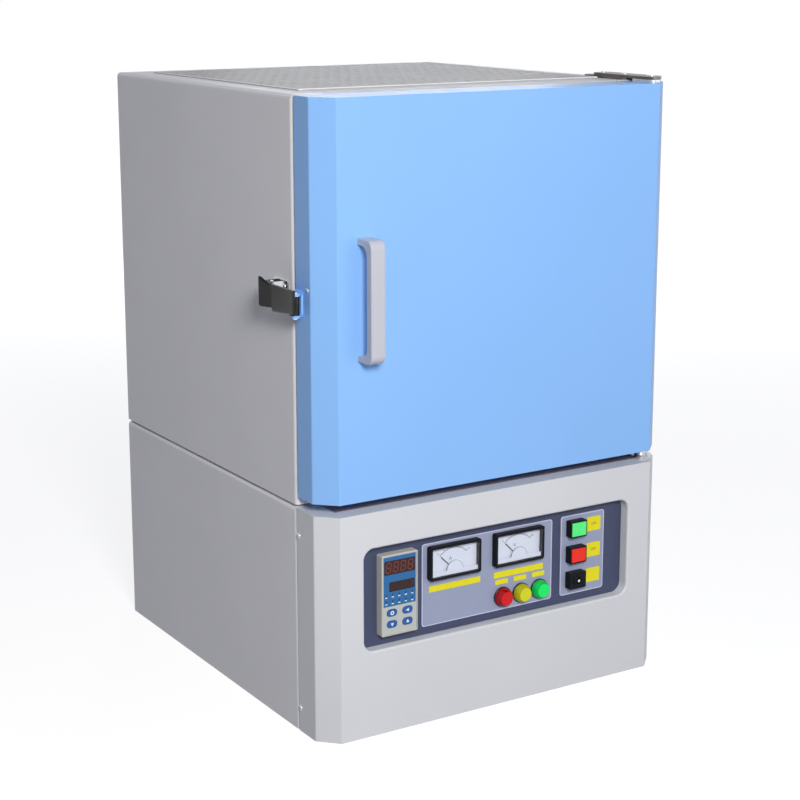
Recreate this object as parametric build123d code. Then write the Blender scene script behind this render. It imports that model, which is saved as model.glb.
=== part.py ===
from build123d import *
from math import cos, radians, sin, sqrt
import os

os.makedirs("parts", exist_ok=True)

# Whole furnace, in millimetres. X runs right, Y back, Z up, and the origin is on the floor under the middle.
width = 480.0
depth = 521.0
lower_height = 265.0
casing_gap = 3.0
casing_height = 454.0
sheet = 1.5
panel_bend = 5.0
seam_gap = 0.6
fit_gap = 0.3

# Chamfered fronts of the control cabinet and of the door
wrap_depth = 60.0
wrap_chamfer = 22.0
wrap_bend = 3.0
door_setback = 2.0
door_back_gap = 4.5
door_bottom_gap = 13.4
door_top_drop = 0.6

# Flanges of the casing panels
front_flange = 24.0
top_flange = 40.0
base_flange = 20.0
pan_height = 20.0

# Ventilated top cover: a perforated plate that lies on the casing's flanges
vent_margin = 34.0
vent_front_margin = 46.0
vent_lap = 6.0
vent_corner = 6.0
vent_edge = 0.5
vent_hole_radius = 5.0
vent_hole_pitch = 25.4
vent_hole_border = 18.0

# Chamber, muffle and insulation
chamber_width = 200.0
chamber_height = 120.0
chamber_depth = 300.0
chamber_middle = 500.0
muffle_wall = 12.0
mouth_gap = 1.0
side_insulation = 68.0
roof_insulation = 118.0
back_insulation = 62.0
element_radius = 4.5
element_groove = 5.0
element_count = 4
element_pitch = 26.0
element_length = 270.0
element_tail_radius = 3.0
element_tail_length = 100.0
hearth_thickness = 8.0
hearth_side_gap = 5.0
hearth_setback = 30.0
probe_radius = 4.0
probe_length = 125.0
probe_drop = 15.0
probe_head_radius = 17.0
probe_head_length = 30.0

# Door plug and seal
plug_side_gap = 4.0
plug_taper = 5.0
plug_reach = 22.0
seal_offset = 4.0
seal_width = 14.0
seal_corner = 10.0

# Door hinge
pivot_inset = 16.0
pivot_setback = 26.5
pin_radius = 3.5
running_fit = 0.05
pin_grip = 25.0
pin_tip_gap = 3.0
bush_radius = 6.3
bush_neck_radius = 5.2
pin_head_radius = 5.5
pin_head_height = 1.4
pin_head_round = 0.6
hinge_plate = 3.0
hinge_arm = 3.0
hinge_width = 27.0
hinge_corner = 9.5
hinge_base_setback = 2.5
hinge_base_length = 81.0
hinge_arm_lap = 65.5
hinge_arm_reach = 20.0
hinge_leaf_reach = 17.0
hinge_leaf_lap = 25.0
hinge_edge_inset = 2.0
hinge_bottom_reach = 16.0
hinge_screw_setbacks = (16.5, 57.5)
hinge_screw_head = 1.4
pin_boss_radius = 8.0

# Door handle
handle_width = 18.0
handle_length = 135.0
handle_reach = 29.0
handle_bar = 9.0
handle_leg = 7.0
handle_outer_bend = 10.0
handle_inner_bend = 12.0
handle_from_side = 55.0
handle_height = 504.5

# Latch on the left side: bracket and pin on the door, lever, and strike on the casing
latch_height = 499.5
latch_bracket_span = 27.0
latch_pin_out = 12.5
latch_pin_setback = 33.6
latch_pin_radius = 2.5
latch_pin_head = 1.5
latch_pin_tail = 1.5
latch_knuckle = 4.5
latch_lug = 3.0
latch_plate = 2.3
latch_plate_setback = 39.5
latch_plate_length = 14.0
latch_screw_inset = 5.0
latch_screw_pitch = 14.0
latch_side_screw_setback = 29.5
latch_side_screw_height = 515.0
lever_thick = 3.2
lever_front = 9.0
lever_back = 39.0
lever_web = 7.0
lever_top = 18.1
lever_front_drop = 6.9
lever_back_drop = 12.0
grip_length = 17.5
grip_flare = 8.5
grip_thick = 4.5
grip_drop = 7.5
grip_dip = 16.5
grip_peak = 25.5
strike_plate = 2.0
strike_setback = 10.5
strike_length = 32.0
strike_height = 29.0
strike_top = 20.0
strike_arm_setback = 31.5
strike_arm_thick = 3.0
strike_reach = 22.0
strike_hook_width = 12.0
strike_hook_drop = 22.0
strike_bridge = 3.0
strike_screw_inset = 7.0
strike_screw_pitch = 16.0

# Instrument recess in the fascia
recess_left = 52.0
recess_width = 373.5
recess_low = 102.0
recess_height = 120.5
recess_corner = 13.0
recess_depth = 13.5
recess_bend = 2.5
backplate = 2.0
backplate_lap = 6.0
name_plate = 1.2
name_plate_corner = 3.5
label_thick = 0.4
meter_plate_left = 135.5
meter_plate_width = 184.5
meter_plate_low = 112.0
meter_plate_height = 99.5
switch_plate_left = 333.0
switch_plate_width = 65.0

# Temperature controller, a 48 by 96 panel instrument
controller_width = 48.0
controller_height = 96.0
controller_middle_x = 100.0
controller_middle_z = 162.7
controller_proud = 11.5
controller_body_width = 44.8
controller_body_height = 91.6
controller_body_depth = 80.0
controller_rim = 1.6
controller_corner = 2.0
controller_fascia = 1.2
controller_recess = 1.0
controller_ledge = 1.6
key_width = 13.5
key_height = 8.6
key_pitch_x = 20.6
key_pitch_z = 13.5
key_middle_drop = 27.7
key_length = 2.3
key_proud = 0.8
key_travel = 0.8
window_width = 41.0
window_height = 16.5
window_rise = 32.5
lower_window_width = 34.0
lower_window_height = 11.6
lower_window_rise = 9.8
lower_window_shift = 3.0
window_corner = 1.5

# Ammeter and voltmeter
meter_width = 70.5
meter_height = 40.5
meter_middle_z = 187.8
ammeter_middle_x = 177.8
voltmeter_middle_x = 268.4
meter_proud = 8.0
meter_corner = 2.5
meter_border = 3.0
meter_pane = 1.2
meter_pane_setback = 0.5
meter_floor = 0.8
meter_can_width = 58.0
meter_can_height = 33.0
meter_can_depth = 42.0
dial_thick = 0.6
needle_thick = 0.6
needle_length = 25.0
needle_width = 0.9
needle_swing = 90.0
needle_hub = 2.6
needle_shaft = 0.8
needle_pivot_rise = 5.0
needle_gap = 0.8

# Indicator lamps
lamp_middle_x = (248.0, 274.7, 301.2)
lamp_middle_z = 128.4
lamp_bezel_radius = 12.0
lamp_bezel_thick = 2.5
lamp_floor = 0.8
lamp_lens_radius = 11.2
lamp_lens_shoulder = 10.6
lamp_lens_flat = 8.2
lamp_shoulder_proud = 7.0
lamp_lens_proud = 11.4
lamp_lens_round = 0.8
lamp_barrel_radius = 9.5
lamp_barrel_length = 34.0

# Push buttons and key switch
button_middle_x = 353.2
start_middle_z = 195.8
stop_middle_z = 163.3
lock_middle_z = 131.2
button_width = 24.5
button_height = 20.5
button_corner = 1.5
button_proud = 10.0
button_wall = 1.4
cap_gap = 0.4
cap_proud = 0.6
cap_thick = 6.0
cap_stem_radius = 6.0
cap_stem_length = 8.0
cap_travel = 2.5
button_barrel_radius = 8.5
button_barrel_length = 38.0
lock_barrel_radius = 6.5
lock_barrel_proud = 1.5
lock_barrel_length = 10.0
lock_ring_radius = 3.8
lock_core_radius = 2.3
lock_notch_width = 1.4
lock_notch_length = 1.4
lock_ring_depth = 5.0

# Yellow legend plates: long ones under the meters, small ones over the lamps, square ones by the buttons
legend_long = (71.0, 8.3)
legend_small = (18.0, 7.4)
legend_square = (20.0, 17.6)
legend_long_z = 155.8
legend_small_z = 146.7
legend_square_x = 382.5

# Screws
screw_head_radius = 3.5
screw_head_height = 1.8
screw_shank_radius = 2.0
screw_shank_length = 8.0
screw_head_round = 0.8
screw_play = 0.2
small_head_radius = 2.8
small_head_height = 1.4
small_shank_radius = 1.5
small_shank_length = 6.0
fascia_screw_setback = 54.5
fascia_screw_heights = (29.0, 234.0)

# Control gear inside the lower cabinet
gear_plate = 2.0
gear_plate_width = 180.0
gear_plate_depth = 200.0
gear_plate_from_side = 30.0
sink_width = 80.0
sink_depth = 100.0
sink_base = 12.0
sink_inset_x = 10.0
sink_inset_y = 20.0
fin_count = 9
fin_thick = 2.5
fin_height = 30.0
module_depth = 45.0
module_height = 24.0
breaker_width = 36.0
breaker_depth = 68.0
breaker_height = 62.0
breaker_inset_x = 110.0
breaker_nose_inset = 12.0
breaker_nose_height = 10.0
contactor_width = 45.0
contactor_depth = 74.0
contactor_height = 60.0
contactor_inset_y = 110.0
contactor_cap_inset = 8.0
contactor_cap_height = 20.0
strip_length = 80.0
strip_depth = 25.0
strip_height = 30.0
strip_inset_y = 140.0
strip_ways = 5
strip_well_radius = 3.0
strip_well_depth = 10.0

# Vents of the rear covers and the cable gland
louvre_length = 60.0
louvre_height = 5.0
louvre_pitch = 14.0
louvre_rows = 6
upper_vent_drop = 120.0
upper_vent_rise = 40.0
lower_vent_height = 122.5
gland_radius = 11.0
gland_flange_radius = 13.0
gland_flange_thick = 3.0
gland_sleeve_radius = 9.0
gland_nut_length = 9.0
gland_nut_thick = 5.0
gland_tail = 12.0
gland_bore = 6.0
gland_height = 45.0
gland_from_side = 70.0

left = -width / 2
right = width / 2
front = -depth / 2
rear = depth / 2
seam = front + wrap_depth
casing_bottom = lower_height + casing_gap
casing_top = casing_bottom + casing_height
door_front = front + door_setback
door_back = seam - door_back_gap
door_low = lower_height + door_bottom_gap
door_high = casing_top - door_top_drop
recess_face = front + recess_depth
plate_face = recess_face - name_plate
pivot_x = right - pivot_inset
pivot_y = front + pivot_setback
muffle_width = chamber_width + 2 * muffle_wall
muffle_height = chamber_height + 2 * muffle_wall
muffle_front = seam + fit_gap
chamber_low = chamber_middle - chamber_height / 2
muffle_back = muffle_front + chamber_depth + muffle_wall
insulation_front = seam + sheet + fit_gap
insulation_back = muffle_back + back_insulation
hinge_screw_places = [seam + setback for setback in hinge_screw_setbacks]
hinge_leaf = casing_top + hinge_plate - fit_gap - door_high


# Shapes used by several pieces

def facing(x, y, z):
    return Plane((x, y, z), x_dir=(1, 0, 0), z_dir=(0, -1, 0))


def block(x0, x1, y0, y1, z0, z1):
    return Pos((x0 + x1) / 2, (y0 + y1) / 2, (z0 + z1) / 2) * Box(x1 - x0, y1 - y0, z1 - z0)


def slab(x, z, wide, high, corner, y_front, y_back):
    outline = RectangleRounded(wide, high, corner)
    return extrude(facing(x, y_back, z) * outline, y_back - y_front)


def rod(x, z, radius, y_front, y_back):
    return extrude(facing(x, y_back, z) * Circle(radius), y_back - y_front)


def post(x, y, radius, z_low, z_high):
    return extrude(Pos(x, y, z_low) * Circle(radius), z_high - z_low)


def group(pieces):
    return Compound(children=list(pieces))


def save(node, shape):
    export_step(shape, f"parts/{node}.step")


def both_sides(piece):
    return [piece, mirror(piece, Plane.YZ)]


# Plan outline of a front that wraps round the corners with a chamfer, moved inwards by inset
def wrap_outline(y_front, y_back, inset, bend):
    corner = wrap_chamfer + inset * (sqrt(2) - 1)
    half = width / 2 - inset
    flat = width / 2 - corner
    points = [
        (-half, y_back),
        (-half, y_front + corner),
        (-flat, y_front + inset),
        (flat, y_front + inset),
        (half, y_front + corner),
        (half, y_back),
    ]
    outline = make_face(Polyline(*points, close=True))
    bends = outline.vertices().filter_by(lambda v: v.Y < y_back - 0.01)
    return fillet(bends, bend)


def wrap_solid(y_front, y_back, inset, bend, z_low, z_high):
    return extrude(Pos(0, 0, z_low) * wrap_outline(y_front, y_back, inset, bend), z_high - z_low)


# Casing sheets

def side_panel(z_low, z_high, closed_base):
    y0 = seam
    x1 = left + top_flange
    outer = block(left, x1, y0, rear, z_low, z_high)
    edges = outer.edges().group_by(Axis.X)[0].filter_by(Axis.Y).sort_by(Axis.Z)[-1:]
    edges += outer.edges().group_by(Axis.X)[0].filter_by(Axis.Z).sort_by(Axis.Y)[:1]
    outer = fillet(edges, panel_bend)
    floor = z_low + sheet if closed_base else z_low - sheet
    inner = block(left + sheet, x1 + sheet, y0 + sheet, rear + sheet, floor, z_high - sheet)
    edges = inner.edges().group_by(Axis.X)[0].filter_by(Axis.Y).sort_by(Axis.Z)[-1:]
    edges += inner.edges().group_by(Axis.X)[0].filter_by(Axis.Z).sort_by(Axis.Y)[:1]
    inner = fillet(edges, panel_bend - sheet)
    narrow = block(left + front_flange, x1 + sheet, y0 - sheet, y0 + 2 * sheet, z_low - sheet, z_high - panel_bend)
    if closed_base:
        low = block(left + base_flange, x1 + sheet, y0 - sheet, rear + sheet, z_low - sheet, z_low + 2 * sheet)
    else:
        low = block(left + panel_bend, x1 + sheet, y0 - sheet, y0 + 2 * sheet, z_low - sheet, pan_height + fit_gap)
    return outer - inner - narrow - low


def upper_side_panels():
    plain, drilled = both_sides(side_panel(casing_bottom, casing_top, True))
    for y in hinge_screw_places:
        drilled -= post(pivot_x, y, screw_shank_radius + screw_play, casing_top - 2 * sheet, casing_top + sheet)
    return [plain, drilled]


def louvres(x, z_low, y_back):
    slot = slab(x, z_low, louvre_length, louvre_height, louvre_height / 2 - 0.05, y_back - 3 * sheet, y_back + sheet)
    return [Pos(0, 0, row * louvre_pitch) * slot for row in range(louvre_rows)]


def base_pan():
    y1 = rear - sheet - fit_gap
    inset = panel_bend + fit_gap
    tray = wrap_solid(front, y1, inset, wrap_bend, 0, pan_height)
    return tray - wrap_solid(front, y1 - sheet, inset + sheet, wrap_bend, sheet, pan_height + sheet)


def lower_rear_cover():
    x0 = left + sheet + fit_gap
    high = lower_height - sheet - 2 * fit_gap
    plate = slab(0, fit_gap + high / 2, -2 * x0, high, panel_bend, rear - sheet, rear)
    for x in (-width / 5, width / 5):
        for slot in louvres(x, lower_vent_height, rear):
            plate -= slot
    hole = rod(right - gland_from_side, gland_height, gland_sleeve_radius + fit_gap, rear - 2 * sheet, rear + sheet)
    return plate - hole


def cable_gland():
    x = right - gland_from_side
    nut_back = rear + gland_flange_thick + gland_nut_length
    flange = rod(x, gland_height, gland_flange_radius, rear, rear + gland_flange_thick)
    nut = extrude(facing(x, nut_back, gland_height) * RegularPolygon(gland_radius, 6), gland_nut_length)
    sleeve = rod(x, gland_height, gland_sleeve_radius, rear - gland_tail, rear)
    lock_nut = rod(x, gland_height, gland_flange_radius, rear - sheet - gland_nut_thick, rear - sheet)
    bore = rod(x, gland_height, gland_bore, rear - gland_tail - 1, nut_back + 1)
    return flange + nut + sleeve + lock_nut - bore


def deck_plate():
    inset = panel_bend + 1
    plate = block(left + inset, right - inset, seam + inset, rear - inset, lower_height, casing_bottom)
    corner = plate.edges().filter_by(Axis.Z)
    return fillet(corner, panel_bend)


def front_frame():
    x0 = left + front_flange + fit_gap
    x1 = left + top_flange + fit_gap
    y1 = seam + vent_front_margin + vent_lap
    profile_plane = Plane((x1, 0, 0), x_dir=(0, 1, 0), z_dir=(1, 0, 0))
    corner = Polyline((seam, casing_bottom), (seam, casing_top), (y1, casing_top), (y1, casing_top - sheet),
                      (seam + sheet, casing_top - sheet), (seam + sheet, casing_bottom), close=True)
    profile = make_face(corner)
    outside = profile.vertices().sort_by(lambda v: v.X - v.Y)[:1]
    profile = fillet(outside, panel_bend)
    middle = extrude(profile_plane * profile, -2 * x1)
    wings = block(x0, -x0, seam, seam + sheet, casing_bottom, casing_top - panel_bend - fit_gap)
    mouth = slab(0, chamber_middle, muffle_width + 2 * mouth_gap, muffle_height + 2 * mouth_gap, 2,
                 seam - sheet, seam + 3 * sheet)
    return middle + wings - mouth


def upper_rear_cover():
    x0 = left + sheet + fit_gap
    x1 = left + top_flange + fit_gap
    high = casing_height - 2 * sheet - 2 * fit_gap
    plate = slab(0, (casing_bottom + casing_top) / 2, -2 * x0, high, panel_bend, rear - sheet, rear)
    stem = block(x1, -x1, rear - sheet, rear, casing_top - 4 * sheet, casing_top)
    lip = block(x1, -x1, rear - vent_margin - vent_lap, rear, casing_top - sheet, casing_top)
    plate = plate + stem + lip
    for x in (-width / 4, 0, width / 4):
        for slot in louvres(x, casing_top - upper_vent_drop, rear):
            plate -= slot
        for slot in louvres(x, casing_bottom + upper_vent_rise, rear):
            plate -= slot
    return plate


def top_vent_cover():
    x1 = right - vent_margin
    y0 = seam + vent_front_margin
    y1 = rear - vent_margin
    plate = extrude(Pos(0, (y0 + y1) / 2, casing_top) * RectangleRounded(2 * x1, y1 - y0, vent_corner), sheet)
    plate = chamfer(plate.faces().sort_by(Axis.Z)[-1].edges(), vent_edge)
    column_pitch = vent_hole_pitch * sqrt(3) / 2
    columns = int((2 * x1 - 2 * vent_hole_border) / column_pitch)
    rows = int((y1 - y0 - 2 * vent_hole_border) / vent_hole_pitch)
    holes = []
    for column in range(columns + 1):
        x = (column - columns / 2) * column_pitch
        shift = vent_hole_pitch / 2 if column % 2 else 0
        for row in range(rows + (0 if column % 2 else 1)):
            y = (y0 + y1) / 2 + (row - rows / 2) * vent_hole_pitch + shift
            holes.append(Pos(x, y) * Circle(vent_hole_radius))
    return plate - extrude(Pos(0, 0, casing_top - sheet) * (Sketch() + holes), 3 * sheet)


# Control fascia with its instrument recess

def fascia_opening(inset, y_front, y_back):
    x = left + recess_left + recess_width / 2
    z = recess_low + recess_height / 2
    return slab(x, z, recess_width - 2 * inset, recess_height - 2 * inset, recess_corner - inset, y_front, y_back)


def control_fascia():
    y_back = seam - seam_gap
    shell = wrap_solid(front, y_back, 0, wrap_bend, 0, lower_height)
    shell -= wrap_solid(front, y_back + sheet, sheet, wrap_bend - sheet, -sheet, lower_height - sheet)
    shell += fascia_opening(-sheet, front + sheet / 2, recess_face)
    shell -= fascia_opening(0, front - sheet, recess_face + sheet)
    shell = fillet(shell.faces().sort_by(Axis.Y)[0].inner_wires()[0].edges(), recess_bend)
    for side in (left, right):
        for z in fascia_screw_heights:
            mouth = Plane((side, front + fascia_screw_setback, z), z_dir=(1, 0, 0))
            shell -= extrude(mouth * Circle(screw_shank_radius + screw_play), 2 * sheet, both=True)
    return shell


def screw_out(x, y, z, direction, head_height):
    plane = Plane((x, y, z), z_dir=direction)
    head = extrude(plane * Circle(screw_head_radius), head_height)
    rim = head.edges().filter_by(GeomType.CIRCLE).sort_by(lambda e: (e.center() - Vector(x, y, z)).length)[-1]
    return fillet(rim, screw_head_round) + extrude(plane * Circle(screw_shank_radius), -screw_shank_length)


def fascia_screws():
    y = front + fascia_screw_setback
    screws = [screw_out(left, y, z, (-1, 0, 0), screw_head_height) for z in fascia_screw_heights]
    return screws + [mirror(screw, Plane.YZ) for screw in screws]


def meter_centres():
    return [(left + ammeter_middle_x, meter_middle_z), (left + voltmeter_middle_x, meter_middle_z)]


def lamp_centres():
    return [(left + x, lamp_middle_z) for x in lamp_middle_x]


def switch_centres():
    x = left + button_middle_x
    return [(x, start_middle_z), (x, stop_middle_z), (x, lock_middle_z)]


def through_holes(y_front, y_back):
    holes = [slab(x, z, meter_can_width + 1, meter_can_height + 1, 3, y_front, y_back) for x, z in meter_centres()]
    holes += [rod(x, z, lamp_barrel_radius + fit_gap, y_front, y_back) for x, z in lamp_centres()]
    holes += [rod(x, z, button_barrel_radius + fit_gap, y_front, y_back) for x, z in switch_centres()]
    return holes


def instrument_backplate():
    x = left + recess_left + recess_width / 2
    z = recess_low + recess_height / 2
    plate = slab(x, z, recess_width + 2 * backplate_lap, recess_height + 2 * backplate_lap, recess_corner,
                 recess_face, recess_face + backplate)
    plate -= slab(left + controller_middle_x, controller_middle_z, controller_body_width + 0.8,
                  controller_body_height + 0.8, 1, recess_face - 1, recess_face + 2 * backplate)
    for hole in through_holes(recess_face - 1, recess_face + 2 * backplate):
        plate -= hole
    return plate


def name_plate_solid(x_left, wide):
    x = left + x_left + wide / 2
    z = meter_plate_low + meter_plate_height / 2
    plate = slab(x, z, wide, meter_plate_height, name_plate_corner, plate_face, recess_face)
    for hole in through_holes(plate_face - 1, recess_face + 1):
        plate -= hole
    return plate


def legend_plates():
    pieces = [(left + x, legend_long_z, legend_long) for x in (ammeter_middle_x + 3, voltmeter_middle_x + 3)]
    pieces += [(left + x - 1, legend_small_z, legend_small) for x in lamp_middle_x]
    pieces += [(left + legend_square_x, z, legend_square) for x, z in switch_centres()]
    return group(slab(x, z, size[0], size[1], 0.8, plate_face - label_thick, plate_face) for x, z, size in pieces)


# Temperature controller

controller_x = left + controller_middle_x
controller_face = recess_face - controller_proud
controller_fascia_front = controller_face + controller_recess
controller_fascia_back = controller_fascia_front + controller_fascia


def key_centres():
    z = controller_middle_z - key_middle_drop
    return [(controller_x + sx * key_pitch_x / 2, z + sz * key_pitch_z / 2) for sz in (1, -1) for sx in (-1, 1)]


def controller_case():
    bezel = slab(controller_x, controller_middle_z, controller_width, controller_height, controller_corner,
                 controller_face, recess_face)
    bezel = chamfer(bezel.faces().sort_by(Axis.Y)[0].edges(), 0.8)
    body = slab(controller_x, controller_middle_z, controller_body_width, controller_body_height, 1,
                recess_face, recess_face + controller_body_depth)
    wide = controller_width - 2 * controller_rim
    high = controller_height - 2 * controller_rim
    seat = slab(controller_x, controller_middle_z, wide, high, 1.5, controller_face - 1, controller_fascia_back)
    pocket = slab(controller_x, controller_middle_z, wide - 2 * controller_ledge, high - 2 * controller_ledge, 1,
                  controller_fascia_back - 0.5, controller_fascia_back + key_travel + 1)
    return bezel + body - seat - pocket


def window_places():
    upper = (controller_x, controller_middle_z + window_rise, window_width, window_height)
    lower = (controller_x + lower_window_shift, controller_middle_z + lower_window_rise, lower_window_width,
             lower_window_height)
    return [upper, lower]


def controller_front():
    wide = controller_width - 2 * controller_rim - 0.2
    high = controller_height - 2 * controller_rim - 0.2
    plate = slab(controller_x, controller_middle_z, wide, high, 1.4, controller_fascia_front, controller_fascia_back)
    for x, z, window_wide, window_high in window_places():
        plate -= slab(x, z, window_wide, window_high, window_corner, controller_fascia_front - 1,
                      controller_fascia_back + 1)
    for x, z in key_centres():
        plate -= slab(x, z, key_width + 2 * fit_gap, key_height + 2 * fit_gap, key_height / 2 + fit_gap - 0.05,
                      controller_fascia_front - 1, controller_fascia_back + 1)
    return plate


def controller_window():
    return group(slab(x, z, wide - 0.2, high - 0.2, window_corner - 0.1, controller_fascia_front + 0.2,
                      controller_fascia_back) for x, z, wide, high in window_places())


def controller_key(x, z):
    key_front = controller_fascia_front - key_proud
    key = slab(x, z, key_width, key_height, key_height / 2 - 0.05, key_front, key_front + key_length)
    return chamfer(key.faces().sort_by(Axis.Y)[0].edges(), 0.3)


# Moving-iron meters

def meter_parts(x, z):
    meter_face = plate_face - meter_proud
    pane_back = meter_face + meter_pane_setback + meter_pane
    well_back = plate_face - meter_floor
    dial_front = well_back - dial_thick
    needle_back = dial_front - needle_gap
    needle_front = needle_back - needle_thick
    well_width = meter_width - 2 * meter_border
    well_height = meter_height - 2 * meter_border
    housing = slab(x, z, meter_width, meter_height, meter_corner, meter_face, plate_face)
    housing = chamfer(housing.faces().sort_by(Axis.Y)[0].edges(), 0.8)
    housing += slab(x, z, meter_can_width, meter_can_height, 2.5, plate_face, plate_face + meter_can_depth)
    housing -= slab(x, z, well_width, well_height, 1.5, meter_face - 1, well_back)
    pivot_z = z - well_height / 2 + needle_pivot_rise
    housing -= rod(x, pivot_z, needle_shaft + running_fit, well_back - 1, well_back + 3.5)
    pane = slab(x, z, well_width - 0.2, well_height - 0.2, 1.4, meter_face + meter_pane_setback, pane_back)
    dial = slab(x, z, well_width - 0.4, well_height - 0.4, 1.3, dial_front, well_back)
    dial -= rod(x, pivot_z, needle_shaft + running_fit, dial_front - 1, well_back + 1)
    lean = radians(needle_swing / 2)
    middle_x = x - needle_length * sin(lean) / 2
    middle_z = pivot_z + needle_length * cos(lean) / 2
    arm = Rot(0, 0, needle_swing / 2) * Rectangle(needle_width, needle_length)
    needle = extrude(facing(middle_x, needle_back, middle_z) * arm, needle_thick)
    needle += rod(x, pivot_z, needle_hub, needle_front - 0.6, needle_back)
    needle += rod(x, pivot_z, needle_shaft, needle_front, well_back + 3)
    return housing, dial, needle, pane


# Lamps, buttons and key switch

def lamp_body(x, z):
    bezel = rod(x, z, lamp_bezel_radius, plate_face - lamp_bezel_thick, plate_face)
    bezel = chamfer(bezel.faces().sort_by(Axis.Y)[0].edges(), 0.4)
    barrel = rod(x, z, lamp_barrel_radius, plate_face, plate_face + lamp_barrel_length)
    pocket = rod(x, z, lamp_lens_radius + 0.2, plate_face - lamp_bezel_thick - 1, plate_face - lamp_floor)
    return bezel + barrel - pocket


def lamp_lens(x, z):
    centre = Plane((x, plate_face, z), x_dir=(1, 0, 0), z_dir=(0, 0, 1))
    half = Polyline((0, -lamp_floor), (lamp_lens_radius, -lamp_floor), (lamp_lens_shoulder, -lamp_shoulder_proud),
                    (lamp_lens_flat, -lamp_lens_proud), (0, -lamp_lens_proud), close=True)
    lens = revolve(centre * make_face(half), Axis((x, plate_face, z), (0, 1, 0)), 360)
    return fillet(lens.faces().sort_by(Axis.Y)[0].edges(), lamp_lens_round)


def button_body(x, z):
    frame = slab(x, z, button_width, button_height, button_corner, plate_face - button_proud, plate_face)
    frame = chamfer(frame.faces().sort_by(Axis.Y)[0].edges(), 0.6)
    barrel = rod(x, z, button_barrel_radius, plate_face, plate_face + button_barrel_length)
    return frame + barrel


def cap_size(extra):
    return button_width - 2 * button_wall + extra, button_height - 2 * button_wall + extra


def cap_front():
    return plate_face - button_proud - cap_proud


def push_button_body(x, z):
    wide, high = cap_size(0)
    pocket = slab(x, z, wide, high, 1, plate_face - button_proud - 1, cap_front() + cap_thick + cap_travel + fit_gap)
    stem_back = cap_front() + cap_thick + cap_stem_length
    well = rod(x, z, cap_stem_radius + cap_gap, plate_face - button_proud, stem_back + cap_travel + fit_gap)
    return button_body(x, z) - pocket - well


def push_button_cap(x, z):
    wide, high = cap_size(-2 * cap_gap)
    cap = slab(x, z, wide, high, 1, cap_front(), cap_front() + cap_thick)
    cap = fillet(cap.faces().sort_by(Axis.Y)[0].edges(), 0.7)
    return cap + rod(x, z, cap_stem_radius, cap_front() + cap_thick, cap_front() + cap_thick + cap_stem_length)


def lock_switch_body(x, z):
    face = plate_face - button_proud - lock_barrel_proud
    bore = rod(x, z, lock_barrel_radius + running_fit, face, face + lock_barrel_length + fit_gap)
    return button_body(x, z) - bore


def lock_barrel(x, z):
    face = plate_face - button_proud - lock_barrel_proud
    barrel = rod(x, z, lock_barrel_radius, face, face + lock_barrel_length)
    barrel = chamfer(barrel.faces().sort_by(Axis.Y)[0].edges(), 0.6)
    ring_back = face + lock_ring_depth
    ring = rod(x, z, lock_ring_radius, face - 1, ring_back) - rod(x, z, lock_core_radius, face - 1, ring_back)
    notch_z = z + lock_ring_radius
    notch = block(x - lock_notch_width / 2, x + lock_notch_width / 2, face - 1, ring_back, notch_z - lock_notch_length / 2,
                  notch_z + lock_notch_length)
    return barrel - ring - notch


# Door

def door_skin():
    skin = wrap_solid(door_front, door_back, 0, wrap_bend, door_low, door_high)
    skin -= wrap_solid(door_front, door_back + sheet, sheet, wrap_bend - sheet, door_low + sheet, door_high - sheet)
    for z in (door_low, door_high):
        skin -= post(pivot_x, pivot_y, bush_neck_radius + running_fit, z - 2 * sheet, z + 2 * sheet)
    for hole in latch_screw_holes():
        skin -= hole
    return skin


def plug_outline(shrink):
    wide = chamber_width - 2 * plug_side_gap - 2 * shrink
    high = chamber_height - 2 * plug_side_gap - 2 * shrink
    return RectangleRounded(wide, high, 4)


def door_inner_pan():
    edge = sheet + fit_gap
    wide = width - 2 * edge
    high = door_high - door_low - 2 * edge
    middle = (door_high + door_low) / 2
    pan = slab(0, middle, wide, high, 1, door_back - sheet, door_back)
    opening = slab(0, chamber_middle, chamber_width - 2 * plug_side_gap + 0.6,
                   chamber_height - 2 * plug_side_gap + 0.6, 4.3, door_back - 2 * sheet, door_back + sheet)
    return pan - opening


def door_insulation():
    x0 = left + wrap_chamfer + 12
    y0 = door_front + sheet
    edge = sheet + fit_gap
    board = block(x0, -x0 - 8, y0, door_back - sheet, door_low + edge, door_high - edge)
    return board


def door_plug():
    root = door_back - sheet
    tip = seam + plug_reach
    shape = [facing(0, root, chamber_middle) * plug_outline(0),
             facing(0, door_back, chamber_middle) * plug_outline(0)]
    neck = extrude(shape[0], -(door_back - root))
    nose = loft([shape[1], facing(0, tip, chamber_middle) * plug_outline(plug_taper)])
    return neck + nose


def door_seal():
    wide = muffle_width + 2 * seal_offset
    high = muffle_height + 2 * seal_offset
    y1 = seam - fit_gap
    ring = slab(0, chamber_middle, wide + 2 * seal_width, high + 2 * seal_width, seal_corner, door_back, y1)
    ring = fillet(ring.faces().sort_by(Axis.Y)[-1].edges(), 1.5)
    return ring - slab(0, chamber_middle, wide, high, 2, door_back - 1, y1 + 1)


def hinge_bush(z_skin, inward):
    flange = hinge_plate_solid(pivot_y - hinge_leaf_reach, pivot_y + hinge_leaf_lap, 0, hinge_leaf)
    flange &= wrap_solid(door_front, door_back, hinge_edge_inset, wrap_bend, 0, hinge_leaf)
    sleeve = post(pivot_x, pivot_y, bush_radius, -sheet - pin_grip, -sheet)
    neck = post(pivot_x, pivot_y, bush_neck_radius, -sheet, 0)
    bore = post(pivot_x, pivot_y, pin_radius + running_fit, -2 * pin_grip, 2 * hinge_leaf)
    bush = flange + sleeve + neck - bore
    if inward > 0:
        bush = mirror(bush, Plane.XY)
    return Pos(0, 0, z_skin) * bush


def hinge_bushes():
    return group([hinge_bush(door_high, -1), hinge_bush(door_low, 1)])


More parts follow.
